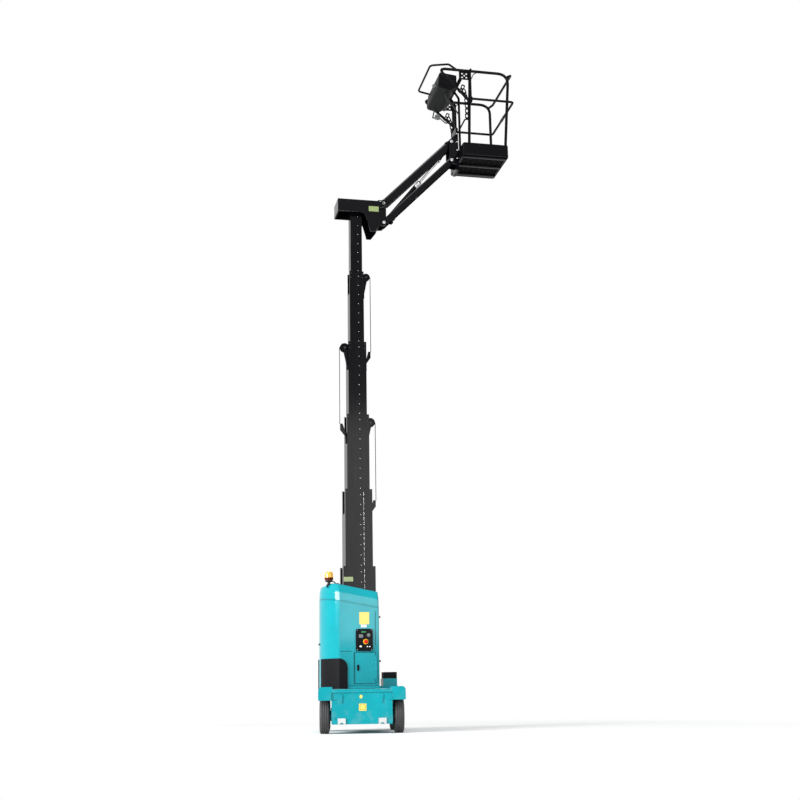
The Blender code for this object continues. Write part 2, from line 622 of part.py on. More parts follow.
def head():
    x0, x1, h = HEAD_X0, HEAD_X1, HEAD_HALF
    shell = box(x0, x1, -h, h, HEAD_BOTTOM, HEAD_TOP)
    room = box(x0 + SHEET, x1 - SHEET, -h + SHEET, h - SHEET, HEAD_BOTTOM - 0.1, HEAD_TOP - SHEET)
    combine(shell, room, "DIFFERENCE")
    bodies = [shell]
    tip = HEAD_TOP - 0.432
    curve = [(x1 - 0.300, tip + 0.335), (x1 - 0.230, tip + 0.275), (x1 - 0.180, tip + 0.175),
             (x1 - 0.150, tip + 0.075), (x1 - 0.132, tip)]
    wedge = curve + [(x1 - 0.070, tip), (x1, tip + 0.095), (x1, HEAD_TOP - 0.001), (x1 - 0.300, HEAD_TOP - 0.001)]
    for s in (-1, 1):
        bodies.append(prism(wedge, "y", *sorted((s * (h - SHEET - 0.002), s * (h - 0.001)))))
    bodies.append(box(x1 - SHEET, x1 - 0.001, -h + 0.004, h - 0.004, tip + 0.100, HEAD_TOP - 0.002))
    top, low = JIB_Z, JIB_Z - JIB_DROP
    ear = [(x1 - 0.006, low - 0.045), (JIB_X + 0.005, low - 0.040), (JIB_X + 0.034, low - 0.015),
           (JIB_X + 0.034, top + 0.020), (JIB_X + 0.014, top + 0.040), (JIB_X - 0.030, top + 0.040),
           (x1 - 0.006, top - 0.004)]
    for s in (-1, 1):
        bodies.append(prism(ear, "y", *sorted((s * 0.084, s * 0.098))))
        bodies.append(rod((JIB_X, s * 0.056, low), (JIB_X, s * 0.106, low), 0.012, 24))
        bx, bz = BASE_PIN
        ring = [(x1 - 0.006, bz - 0.024), (bx + 0.012, bz - 0.024), (bx + 0.024, bz - 0.010),
                (bx + 0.024, bz + 0.010), (bx + 0.012, bz + 0.024), (x1 - 0.006, bz + 0.024)]
        bodies.append(prism(ring, "y", *sorted((s * 0.036, s * 0.048))))
    bodies.append(rod((JIB_X, -0.106, top), (JIB_X, 0.106, top), 0.016, 24))
    bodies.append(rod((BASE_PIN[0], -0.0475, BASE_PIN[1]), (BASE_PIN[0], 0.0475, BASE_PIN[1]), 0.012, 24))
    return piece("mast_head", "jib_black", bodies)


def jib():
    made = []
    half, depth = 0.050, 0.057
    n = JIB_LEN
    side = [(-0.040, -0.018), (-0.040, 0.018), (-0.018, 0.040), (0.040, depth), (n - 0.040, depth),
            (n + 0.018, 0.040), (n + 0.040, 0.018), (n + 0.040, -0.018), (n + 0.018, -0.040), (n - 0.040, -depth),
            (0.125, -depth), (0.060, -0.037), (-0.018, -0.037)]
    body = prism(side, "y", -half, half)
    room = box(0.055, n - 0.055, -half + 0.010, half - 0.010, -0.2, depth - 0.007)
    combine(body, room, "DIFFERENCE")
    lug = [(EYE_X - 0.050, -depth + 0.003), (EYE_X - 0.016, -0.078), (EYE_X + 0.016, -0.078),
           (EYE_X + 0.050, -depth + 0.003)]
    bodies = [body]
    for s in (-1, 1):
        bodies.append(prism(lug, "y", *sorted((s * (half - 0.0095), s * (half - 0.0005)))))
        bodies.append(rod((EYE_X, s * 0.0253, -EYE_DROP), (EYE_X, s * 0.045, -EYE_DROP), 0.013, 16))
    holes = [rod((x, -0.1, 0), (x, 0.1, 0), 0.0168, 24) for x in (0, n)]
    made.append(piece("jib_upper", "jib_black", bodies, holes, origin=(JIB_X, 0, JIB_Z), turn=JIB_ANGLE))

    low = JIB_Z - JIB_DROP
    link = [(-0.026, -0.030), (-0.036, 0), (-0.026, 0.030), (0.050, 0.042), (n - 0.050, 0.042), (n + 0.026, 0.030),
            (n + 0.036, 0), (n + 0.026, -0.030), (n - 0.050, -0.042), (0.050, -0.042)]
    bodies = [prism(link, "y", *sorted((s * 0.058, s * 0.078))) for s in (-1, 1)]
    bodies.append(rod((n - 0.130, -0.060, -0.012), (n - 0.130, 0.060, -0.012), 0.016, 12))
    bodies.append(rod((0.640, -0.060, -0.026), (0.640, 0.060, -0.026), 0.012, 12))
    holes = [rod((x, -0.1, 0), (x, 0.1, 0), 0.0128, 24) for x in (0, n)]
    made.append(piece("jib_lower", "jib_black", bodies, holes, origin=(JIB_X, 0, low), turn=JIB_ANGLE))

    pin = Vector((BASE_PIN[0], 0, BASE_PIN[1]))
    tip = Vector((JIB_X + EYE_R * math.cos(EYE_ANGLE), 0, JIB_Z + EYE_R * math.sin(EYE_ANGLE)))
    reach = (tip - pin).length
    angle = math.atan2(tip.z - pin.z, tip.x - pin.x)
    barrel = rod((0.020, 0, 0), (BARREL_LEN, 0, 0), BARREL_R, 20)
    eye_end = rod((0, -0.030, 0), (0, 0.030, 0), 0.024, 20)
    bore = rod((0.050, 0, 0), (BARREL_LEN + 0.1, 0, 0), ROD_R + 0.0006, 20)
    hole = rod((0, -0.1, 0), (0, 0.1, 0), 0.0128, 24)
    made.append(piece("jib_cylinder_barrel", "jib_black", [barrel, eye_end], [bore, hole],
                      origin=pin, turn=angle))
    shaft = rod((reach - 0.015, 0, 0), (0.440, 0, 0), ROD_R, 20)
    clevis = rod((reach, -0.0250, 0), (reach, 0.0250, 0), 0.024, 16)
    bar = piece("jib_cylinder_rod", "chrome", [shaft, clevis], origin=pin, turn=angle)
    made.append(bar)
    return made


def bracket():
    """Upright that the jib keeps level and the platform hangs on."""
    px, top = JIB_END_X, JIB_END_Z
    low = top - JIB_DROP
    x1 = FLOOR_X0 - GAP
    bodies = [box(px + 0.062, x1, -0.105, 0.105, FLOOR_Z - 0.116, FLOOR_Z + 0.514)]
    ear = [(px + 0.070, low - 0.060), (px - 0.005, low - 0.040), (px - 0.034, low - 0.015),
           (px - 0.034, top + 0.020), (px - 0.014, top + 0.040), (px + 0.070, top + 0.120)]
    for s in (-1, 1):
        bodies.append(prism(ear, "y", *sorted((s * 0.084, s * 0.098))))
        bodies.append(rod((px, s * 0.056, low), (px, s * 0.104, low), 0.012, 20))
    bodies.append(rod((px, -0.104, top), (px, 0.104, top), 0.016, 20))
    return piece("platform_bracket", "jib_black", bodies, origin=(px, 0, top))


# Platform.

POST_Y = FLOOR_HALF - 0.006 - RAIL_R - 0.002
KNEE_Z = TOE_TOP + 0.040


def rail_y(z):
    """Half width of the rail frames: upright behind the toe board, flared above it."""
    return POST_Y + (RAIL_HALF - POST_Y) * max(0.0, z - KNEE_Z) / (RAIL_Z - KNEE_Z)


def hole_plate(s):
    """Side plate between rail and console, with a ring of four holes round a fifth."""
    y0, y1 = sorted((s * (RAIL_HALF - 0.004), s * (RAIL_HALF + 0.004)))
    plate = box(CROSS_X - 0.0001, MID_POST - 0.016, y0, y1, RAIL_Z - 0.135, RAIL_Z)
    cx, cz = FLOOR_X0 + 0.013, RAIL_Z - 0.076
    spots = [(cx, cz)] + [(cx + 0.042 * math.cos(a), cz + 0.038 * math.sin(a))
                          for a in (math.pi * (0.25 + 0.5 * i) for i in range(4))]
    for x, z in spots:
        combine(plate, rod((x, y0 - 0.02, z), (x, y1 + 0.02, z), 0.0125, 12), "DIFFERENCE")
    return plate


def platform():
    made = []
    plan = rounded_plan(FLOOR_X0, FLOOR_X1, -FLOOR_HALF, FLOOR_HALF, 0.03)
    room = rounded_plan(FLOOR_X0 + 0.006, FLOOR_X1 - 0.006, -FLOOR_HALF + 0.006, FLOOR_HALF - 0.006, 0.025)
    tray = prism(plan, "z", FLOOR_Z + 0.014, TOE_TOP)
    ribs = [box(FLOOR_X0 + 0.010, FLOOR_X1 - 0.010, y - 0.028, y + 0.028, FLOOR_Z, FLOOR_Z + 0.020)
            for y in (0.072 - FLOOR_HALF, -0.010, FLOOR_HALF - 0.092)]
    made.append(piece("platform_floor", "rail_black", [tray] + ribs, [prism(room, "z", FLOOR_TOP, TOE_TOP + 0.1)]))

    foot = FLOOR_TOP + GAP
    corner, post = FLOOR_X1 + 0.005, FLOOR_X1 - 0.030
    bodies = []
    for s in (-1, 1):
        y, base = s * RAIL_HALF, s * POST_Y
        bodies.append(tube([(FLOOR_X0 - 0.307, y, RAIL_Z), (corner, y, RAIL_Z), (post, base, KNEE_Z),
                            (post, base, foot)], RAIL_R, 0.08))
        bodies.append(tube([(MID_POST, base, foot), (MID_POST, base, KNEE_Z), (MID_POST, y, RAIL_Z)], RAIL_R))
    end_bar = [(corner - 0.008, -RAIL_HALF, RAIL_Z - 0.035), (END_X, -RAIL_HALF + 0.02, RAIL_Z),
               (END_X, RAIL_HALF - 0.02, RAIL_Z), (corner - 0.008, RAIL_HALF, RAIL_Z - 0.035)]
    bodies.append(tube(end_bar, 0.017, 0.03))
    loop = [(FLOOR_X0 - 0.087, RAIL_HALF, RAIL_Z), (FLOOR_X0 - 0.197, RAIL_HALF - 0.01, RAIL_Z + 0.08),
            (FLOOR_X0 - 0.432, RAIL_HALF - 0.085, RAIL_Z + 0.08)]
    bodies.append(tube([(x, -y, z) for x, y, z in loop] + loop[::-1], 0.014, 0.07))
    bodies.append(box(CROSS_X, CROSS_X + 0.038, -RAIL_HALF, RAIL_HALF, RAIL_Z - 0.150, RAIL_Z - 0.112))
    for s in (-1, 1):
        bodies.append(hole_plate(s))
        stem = FLOOR_X0 + 0.025
        bodies.append(tube([(stem, s * 0.100, foot), (stem, s * 0.100, RAIL_Z - 0.230),
                            (CROSS_X + 0.019, s * 0.100, RAIL_Z - 0.131)], 0.016, 0.05))
        # Upright guide outside the frame, on which the entry bar slides.
        bodies.append(rod((MID_POST, s * BAR_Y, MID_Z - 0.040), (MID_POST, s * BAR_Y, RAIL_Z + 0.004), 0.007, 12))
        for z, inner in ((MID_Z - 0.044, rail_y(MID_Z)), (RAIL_Z - 0.010, RAIL_HALF)):
            bodies.append(box(MID_POST - 0.012, MID_POST + 0.012, *sorted((s * inner, s * (BAR_Y + 0.013))),
                              z, z + 0.018))
    made.append(piece("guardrail", "rail_black", bodies))

    start = MID_POST + 0.012
    bar = tube([(start, -BAR_Y, MID_Z), (END_X, -BAR_Y, MID_Z), (END_X, BAR_Y, MID_Z), (start, BAR_Y, MID_Z)],
               0.016, 0.045)
    low = -0.026 + GAP
    sleeves = [turned([(0.0078, low), (0.0155, low), (0.0155, 0.026), (0.0078, 0.026)],
                      (MID_POST, s * BAR_Y, MID_Z), (0, 0, 1), 12, ring=True) for s in (-1, 1)]
    made.append(piece("entry_bar", "rail_black", [bar] + sleeves, origin=(MID_POST, 0, MID_Z)))

    back = CROSS_X - GAP
    side = [(back - 0.2667, RAIL_Z - 0.200), (back - 0.2367, RAIL_Z + 0.015), (back, RAIL_Z - 0.010),
            (back, RAIL_Z - 0.240), (back - 0.1067, RAIL_Z - 0.350), (back - 0.2467, RAIL_Z - 0.310)]
    made.append(piece("platform_console", "console_grey",
                      [prism(side, "y", -RAIL_HALF + 0.125, RAIL_HALF - 0.125)]))
    return made


def build():
    frame, cover = chassis()
    fixed = tie_plates()
    travel = carrier("chassis", (0, 0, 0))
    wheels = {}
    for name, s, y in (("near_left", -1, -AXLE_Y), ("near_right", 1, -AXLE_Y),
                       ("far_left", -1, AXLE_Y), ("far_right", 1, AXLE_Y)):
        wheels[name] = wheel(name, s, y)
    knuckles = {"far_left": knuckle("left", -1), "far_right": knuckle("right", 1)}
    table = turntable()
    sections = [section(k) for k in range(6)]
    pulleys = {k: pulley(k) for k in PULLEY_R}
    strands = {k: strand(k) for k in PULLEY_R}
    top = head()
    upper, lower, barrel, shaft = jib()
    level = bracket()
    basket = platform()

    slew = carrier("slew", (0, 0, TABLE_BOTTOM))
    stages = [slew] + [carrier(f"stage_{k}", (MAST_X, 0, section_top(k))) for k in range(1, 6)]
    bpy.context.view_layer.update()

    def hang(child, parent):
        child.parent = parent
        child.matrix_parent_inverse = parent.matrix_world.inverted()

    for part in [frame, cover, slew, table[0]] + fixed + list(knuckles.values()):
        hang(part, travel)
    for name, parts in wheels.items():
        for part in parts:
            hang(part, knuckles.get(name, travel))
    for part in table[1:]:
        hang(part, slew)
    for k in range(1, 6):
        hang(stages[k], stages[k - 1])
    for k in range(6):
        hang(sections[k], stages[k])
    for k in PULLEY_R:
        hang(pulleys[k], stages[k])
        hang(strands[k], stages[k - 1])
    hang(top, stages[5])
    for part in (upper, lower, barrel):
        hang(part, top)
    hang(shaft, barrel)
    hang(level, upper)
    for part in basket:
        hang(part, level)

    # At rest the turntable is slewed a little from straight ahead, and the mast's side faces along X.
    travel.rotation_euler.z = -SLEW_REST
    slew.rotation_euler.z = SLEW_REST

    # The frame's origin is on the ground in the middle of the whole machine's plan.
    bpy.context.view_layer.update()
    corners = [part.matrix_world @ vertex.co for part in bpy.data.objects if part.type == "MESH"
               for vertex in part.data.vertices]
    for axis in (0, 1):
        travel.location[axis] = -(min(c[axis] for c in corners) + max(c[axis] for c in corners)) / 2
    bpy.context.view_layer.update()


build()
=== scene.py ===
"""Looks of a self-propelled mast lift: its finishes, fittings and studio, built round the CAD frame."""

from __future__ import annotations

import enum
import json
import logging
import math
from dataclasses import dataclass, field
from typing import ClassVar, Iterable, Sequence

import bmesh
import bpy
from mathutils import Matrix, Vector

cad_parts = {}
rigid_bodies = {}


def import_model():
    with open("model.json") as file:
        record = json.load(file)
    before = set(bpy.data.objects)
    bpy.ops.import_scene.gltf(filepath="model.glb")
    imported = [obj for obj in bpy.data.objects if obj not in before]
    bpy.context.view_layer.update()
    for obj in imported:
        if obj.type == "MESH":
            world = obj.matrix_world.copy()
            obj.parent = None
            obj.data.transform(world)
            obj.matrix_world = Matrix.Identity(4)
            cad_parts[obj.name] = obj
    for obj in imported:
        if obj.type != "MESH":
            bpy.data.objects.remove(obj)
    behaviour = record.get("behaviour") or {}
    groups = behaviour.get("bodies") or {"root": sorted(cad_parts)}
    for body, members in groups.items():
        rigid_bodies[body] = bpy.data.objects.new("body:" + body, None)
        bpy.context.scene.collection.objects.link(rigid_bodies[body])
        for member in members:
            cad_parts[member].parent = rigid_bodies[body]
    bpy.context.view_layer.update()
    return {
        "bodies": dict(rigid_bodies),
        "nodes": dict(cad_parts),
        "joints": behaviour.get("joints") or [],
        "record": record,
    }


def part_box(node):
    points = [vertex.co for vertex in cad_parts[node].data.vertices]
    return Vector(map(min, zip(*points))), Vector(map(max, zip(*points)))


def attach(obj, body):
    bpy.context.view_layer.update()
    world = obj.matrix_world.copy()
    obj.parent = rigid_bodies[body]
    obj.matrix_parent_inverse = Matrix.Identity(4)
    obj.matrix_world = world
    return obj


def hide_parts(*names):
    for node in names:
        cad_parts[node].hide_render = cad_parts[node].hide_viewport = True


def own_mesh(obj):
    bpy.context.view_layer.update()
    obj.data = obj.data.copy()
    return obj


LOG = logging.getLogger("mast_lift")
Colour = tuple[float, float, float]
Point = tuple[float, float, float]
Pair = tuple[float, float]
Socket = bpy.types.NodeSocket

# The thickness of a label's film, in metres.
FILM = 0.0008

# The sides of the slewing part, and the wheels with their side and their place along the chassis.
SIDES = (("near", -1), ("far", 1))
WHEELS = {"near_left": (-1, -0.6), "near_right": (1, -0.6), "far_left": (-1, 0.6), "far_right": (1, 0.6)}


# Node trees.


class Shader:
    """One material's node tree, with short calls that add and join its nodes."""

    def __init__(self, name: str) -> None:
        """Starts a material that holds a Principled shader.

        Args:
            name: The material's name.
        """
        self.material = bpy.data.materials.new(name)
        self.material.use_nodes = True
        self.tree = self.material.node_tree
        self.bsdf = next(n for n in self.tree.nodes if n.type == "BSDF_PRINCIPLED")
        self.coords = self.tree.nodes.new("ShaderNodeTexCoord")

    def node(self, kind: str, **values: object) -> bpy.types.Node:
        """Adds a node.

        Args:
            kind: The node's type, without its ShaderNode prefix.
            **values: Properties, or inputs by name with underscores for spaces. A socket is linked.

        Returns:
            The new node.
        """
        made = self.tree.nodes.new("ShaderNode" + kind)
        for key, value in values.items():
            if hasattr(made, key):
                setattr(made, key, value)
            else:
                self.feed(made.inputs[key.replace("_", " ")], value)
        return made

    def feed(self, socket: Socket, value: object) -> None:
        """Links a socket to an input, or sets the input's value."""
        if isinstance(value, Socket):
            self.tree.links.new(value, socket)
        else:
            socket.default_value = value

    def set(self, **values: object) -> None:
        """Feeds the Principled shader's inputs, by name with underscores for spaces."""
        for key, value in values.items():
            self.feed(self.bsdf.inputs[key.replace("_", " ")], value)

    def place(self, scale: Point = (1, 1, 1)) -> Socket:
        """Returns the pattern's coordinates, scaled."""
        made = self.node("Mapping", Scale=scale)
        self.tree.links.new(self.coords.outputs["Object"], made.inputs["Vector"])
        return made.outputs[0]

    def noise(self, scale: float, detail: float = 3.0, stretch: Point = (1, 1, 1)) -> Socket:
        """Returns a noise value between 0 and 1, stretched along an axis where it is asked."""
        made = self.node("TexNoise", Vector=self.place(stretch), Scale=scale, Detail=detail, Roughness=0.55)
        return made.outputs["Fac"]

    def steps(
            self, value: object, low: float, high: float, to_low: float = 0.0,
            to_high: float = 1.0) -> Socket:
        """Returns the value's share of the way from low to high, mapped to the second range."""
        made = self.node(
            "MapRange", Value=value, From_Min=low, From_Max=high, To_Min=to_low, To_Max=to_high)
        return made.outputs["Result"]

    def mix(self, share: object, first: object, second: object) -> Socket:
        """Returns a colour between two others."""
        made = self.tree.nodes.new("ShaderNodeMix")
        made.data_type = "RGBA"
        for socket, value in zip((made.inputs[0], made.inputs[6], made.inputs[7]), (share, first, second)):
            self.feed(socket, rgba(value) if isinstance(value, tuple) else value)
        return made.outputs[2]

    def times(self, first: object, second: object) -> Socket:
        """Returns the product of two values."""
        made = self.node("Math", operation="MULTIPLY")
        self.feed(made.inputs[0], first)
        self.feed(made.inputs[1], second)
        return made.outputs[0]

    def bump(self, height: object, depth: float, strength: float = 1.0, edge: float = 0.0) -> Socket:
        """Returns a normal from a height, over edges that are rounded where edge is above 0."""
        made = self.node("Bump", Height=height, Distance=depth, Strength=strength)
        if edge > 0:
            round_edge = self.node("Bevel", samples=4, Radius=edge)
            self.tree.links.new(round_edge.outputs[0], made.inputs["Normal"])
        return made.outputs[0]

    def edges(self, radius: float) -> Socket:
        """Returns a mask that is 1 on sharp edges and 0 on flats."""
        soft = self.node("Bevel", samples=4, Radius=radius)
        flat = self.node("NewGeometry")
        dot = self.node("VectorMath", operation="DOT_PRODUCT")
        self.tree.links.new(soft.outputs[0], dot.inputs[0])
        self.tree.links.new(flat.outputs["Normal"], dot.inputs[1])
        return self.steps(dot.outputs["Value"], 0.985, 0.9)


def rgba(colour: Sequence[float]) -> tuple[float, ...]:
    """Returns a colour with its alpha."""
    return (*colour[:3], 1.0)


# Finishes.


@dataclass(frozen=True)
class Finish:
    """A procedural finish: its name, its colour and how it fills its node tree."""

    name: str
    colour: Colour

    def material(self) -> bpy.types.Material:
        """Returns the finish as a material."""
        s = Shader(self.name)
        self.fill(s)
        return s.material

    def fill(self, s: Shader) -> None:
        """Builds the finish's nodes in a shader."""
        raise NotImplementedError

    def tint(self, gain: float, lift: float = 0.0) -> tuple[float, ...]:
        """Returns the colour, darker or brighter."""
        return tuple(min(1.0, c * gain + lift) for c in self.colour)


@dataclass(frozen=True)
class Paint(Finish):
    """Sprayed paint with a soft orange peel, slightly uneven colour, worn edges and road dust low down."""

    rough: float = 0.32
    coat: float = 0.35
    shine: float = 0.5
    wear: Colour = (0.3, 0.31, 0.31)
    worn: float = 0.35
    dust: Colour = (0.33, 0.31, 0.28)
    dust_top: float = 0.55
    edge: float = 0.003
    soften: float = 0.003

    def fill(self, s: Shader) -> None:
        """Builds the finish's nodes in a shader."""
        deep = self.tint(0.84)
        cloud = s.steps(s.noise(2.3, 4.0), 0.35, 0.65)
        tone = s.mix(cloud, deep, self.colour)
        grime = s.steps(s.noise(9.0, 6.0), 0.5, 0.8)
        height = s.node("SeparateXYZ", Vector=s.place())
        low = s.steps(height.outputs["Z"], self.dust_top, 0.05)
        dusty = s.times(s.times(low, grime), 0.28)
        tone = s.mix(dusty, tone, self.dust)
        chips = s.steps(s.noise(60.0, 4.0), 0.52, 0.62)
        rub = s.times(s.times(s.edges(self.edge), chips), self.worn)
        tone = s.mix(rub, tone, self.wear)
        peel = s.noise(420.0, 2.0)
        s.set(
            Base_Color=tone, Roughness=s.steps(grime, 0.0, 1.0, self.rough, self.rough + 0.16),
            Specular_IOR_Level=self.shine, Coat_Weight=self.coat, Coat_Roughness=0.08,
            Normal=s.bump(peel, 0.0004, 0.25, self.soften))


@dataclass(frozen=True)
class Extrusion(Finish):
    """Black anodised extrusion with fine lines along it and paler bands where the sections rub."""

    rub: Colour = (0.1, 0.105, 0.11)
    rough: float = 0.36
    edge: float = 0.0025

    def fill(self, s: Shader) -> None:
        """Builds the finish's nodes in a shader."""
        lines = s.noise(160.0, 3.0, (1.0, 1.0, 0.012))
        scuffs = s.steps(s.noise(14.0, 5.0, (1.0, 1.0, 0.18)), 0.56, 0.74)
        cloud = s.steps(s.noise(3.0, 3.0), 0.35, 0.7)
        tone = s.mix(cloud, self.tint(0.75), self.colour)
        tone = s.mix(s.times(scuffs, 0.45), tone, self.rub)
        tone = s.mix(s.times(s.edges(self.edge), 0.3), tone, (0.03, 0.03, 0.035))
        s.set(
            Base_Color=tone, Roughness=s.steps(lines, 0.3, 0.7, self.rough, self.rough + 0.07),
            Specular_IOR_Level=0.11, Normal=s.bump(lines, 0.0005, 0.07, self.edge))


@dataclass(frozen=True)
class Moulded(Finish):
    """Moulded plastic with a fine grain."""

    rough: float = 0.48
    grain: float = 700.0
    depth: float = 0.0004
    edge: float = 0.002

    def fill(self, s: Shader) -> None:
        """Builds the finish's nodes in a shader."""
        grain = s.noise(self.grain, 2.0)
        cloud = s.steps(s.noise(5.0, 4.0), 0.3, 0.7)
        tone = s.mix(cloud, self.tint(0.8), self.tint(1.12))
        rub = s.times(s.edges(self.edge), 0.25)
        tone = s.mix(rub, tone, self.tint(1.8, 0.01))
        s.set(
            Base_Color=tone, Roughness=s.steps(cloud, 0, 1, self.rough, self.rough + 0.1),
            Specular_IOR_Level=0.06, Normal=s.bump(grain, self.depth, 0.35, self.edge))


@dataclass(frozen=True)
class Rubber(Finish):
    """Solid rubber, dusty on the tread and in the hollows."""

    dust: Colour = (0.2, 0.19, 0.175)

    def fill(self, s: Shader) -> None:
        """Builds the finish's nodes in a shader."""
        blot = s.steps(s.noise(11.0, 6.0), 0.42, 0.78)
        fine = s.noise(320.0, 3.0)
        tone = s.mix(s.times(blot, 0.38), self.colour, self.dust)
        s.set(
            Base_Color=tone, Roughness=s.steps(blot, 0, 1, 0.62, 0.88),
            Normal=s.bump(fine, 0.0008, 0.4, 0.002))


class Surface(enum.Enum):
    """How a bare metal was worked."""

    BRUSHED = "brushed"
    POLISHED = "polished"
    CAST = "cast"
    ZINC = "zinc plated"


@dataclass(frozen=True)
class Metal(Finish):
    """Bare metal, worked in one of four ways."""

    surface: Surface = Surface.BRUSHED

    def fill(self, s: Shader) -> None:
        """Builds the finish's nodes in a shader."""
        rough, depth, scale, stretch = {
            Surface.BRUSHED: (0.3, 0.0003, 240.0, (1.0, 0.05, 1.0)),
            Surface.POLISHED: (0.07, 0.00005, 60.0, (1.0, 1.0, 1.0)),
            Surface.CAST: (0.6, 0.0016, 130.0, (1.0, 1.0, 1.0)),
            Surface.ZINC: (0.34, 0.0003, 90.0, (1.0, 1.0, 1.0)),
        }[self.surface]
        grain = s.noise(scale, 4.0, stretch)
        stain = s.steps(s.noise(16.0, 5.0), 0.4, 0.75)
        tone = s.mix(s.times(stain, 0.5), self.colour, self.tint(0.62))
        metal = 0.55 if self.surface is Surface.CAST else 1.0
        s.set(
            Base_Color=tone, Metallic=metal, Roughness=s.steps(grain, 0.3, 0.7, rough, rough + 0.14),
            Normal=s.bump(grain, depth, 0.4, 0.0015))


@dataclass(frozen=True)
class Lens(Finish):
    """Tinted clear plastic with the fine vertical ribs of a lamp's dome."""

    ribs: float = 900.0

    def fill(self, s: Shader) -> None:
        """Builds the finish's nodes in a shader."""
        rib = s.node("TexWave", Vector=s.place((1.0, 1.0, 0.0)), Scale=self.ribs / 20, Distortion=0.0)
        glow = s.steps(s.noise(20.0, 2.0), 0.3, 0.7)
        tone = s.mix(glow, self.colour, self.tint(0.8))
        s.set(
            Base_Color=tone, Roughness=0.12, Transmission_Weight=0.45, IOR=1.49, Subsurface_Weight=0.2,
            Emission_Color=rgba(self.colour), Emission_Strength=0.1, Coat_Weight=0.5,
            Normal=s.bump(rib.outputs["Fac"], 0.0012, 0.5))


@dataclass(frozen=True)
class Vinyl(Finish):
    """Printed film, faded unevenly and scuffed."""

    def fill(self, s: Shader) -> None:
        """Builds the finish's nodes in a shader."""
        fade = s.steps(s.noise(26.0, 5.0), 0.35, 0.75)
        tone = s.mix(fade, self.colour, self.tint(0.8, 0.05))
        s.set(
            Base_Color=tone, Roughness=s.steps(fade, 0, 1, 0.35, 0.5), Coat_Weight=0.2,
            Normal=s.bump(s.noise(240.0, 2.0), 0.0003, 0.3))


class Coats:
    """Every finish of the lift, made once."""

    def __init__(self) -> None:
        """Builds the materials."""
        wanted = [
            Paint("teal_paint", (0.0, 0.275, 0.32), rough=0.24, coat=0.18, shine=0.12),
            Paint("hood_paint", (0.0, 0.275, 0.32), rough=0.16, coat=0.35, shine=0.08, soften=0.035),
            Paint("hub_paint", (0.2, 0.21, 0.22), rough=0.42, coat=0.1),
            Paint("jib_paint", (0.002, 0.002, 0.003), rough=0.12, coat=0.14, shine=0.06,
                  wear=(0.04, 0.04, 0.05), worn=0.2),
            Paint("rail_coat", (0.002, 0.002, 0.003), rough=0.2, coat=0.04, shine=0.06,
                  wear=(0.02, 0.02, 0.025), worn=0.1),
            Extrusion("mast_coat", (0.0016, 0.0016, 0.0024), rub=(0.008, 0.009, 0.012), rough=0.12),
            Paint("deck_coat", (0.003, 0.003, 0.0036), rough=0.62, coat=0.0, shine=0.02,
                  wear=(0.03, 0.03, 0.03)),
            Moulded("black_plastic", (0.0065, 0.0065, 0.0078)),
            Moulded("console_plastic", (0.007, 0.0078, 0.0074), rough=0.42),
            Moulded("panel_plastic", (0.005, 0.005, 0.006), rough=0.3),
            Moulded("grey_plastic", (0.16, 0.165, 0.17)),
            Moulded("red_button", (0.55, 0.012, 0.01), rough=0.28, depth=0.0001),
            Moulded("dark_red", (0.1, 0.006, 0.004), rough=0.25),
            Moulded("yellow_button", (0.75, 0.48, 0.02), rough=0.3, depth=0.0001),
            Moulded("green_strip", (0.05, 0.3, 0.12), rough=0.3, depth=0.0001),
            Rubber("tyre_rubber", (0.026, 0.026, 0.028), dust=(0.11, 0.105, 0.1)),
            Rubber("hose_rubber", (0.006, 0.006, 0.007), dust=(0.02, 0.02, 0.02)),
            Metal("steel", (0.5, 0.51, 0.52)),
            Metal("chrome", (0.78, 0.79, 0.8), Surface.POLISHED),
            Metal("zinc", (0.62, 0.63, 0.64), Surface.ZINC),
            Metal("chain_steel", (0.045, 0.045, 0.05), Surface.ZINC),
            Metal("cast_iron", (0.035, 0.035, 0.038), Surface.CAST),
            Lens("amber_lens", (1.0, 0.6, 0.04)),
            Vinyl("yellow_film", (0.64, 0.52, 0.08)),
            Vinyl("green_film", (0.21, 0.27, 0.09)),
            Vinyl("white_film", (0.78, 0.79, 0.78)),
        ]
        self.made = {finish.name: finish.material() for finish in wanted}

    def __getitem__(self, name: str) -> bpy.types.Material:
        """Returns a finish's material by name."""
        return self.made[name]


# Studio.


def placed(name: str, data: bpy.types.ID) -> bpy.types.Object:
    """Returns a new object of some data, linked to the scene."""
    made = bpy.data.objects.new(name, data)
    bpy.context.scene.collection.objects.link(made)
    return made


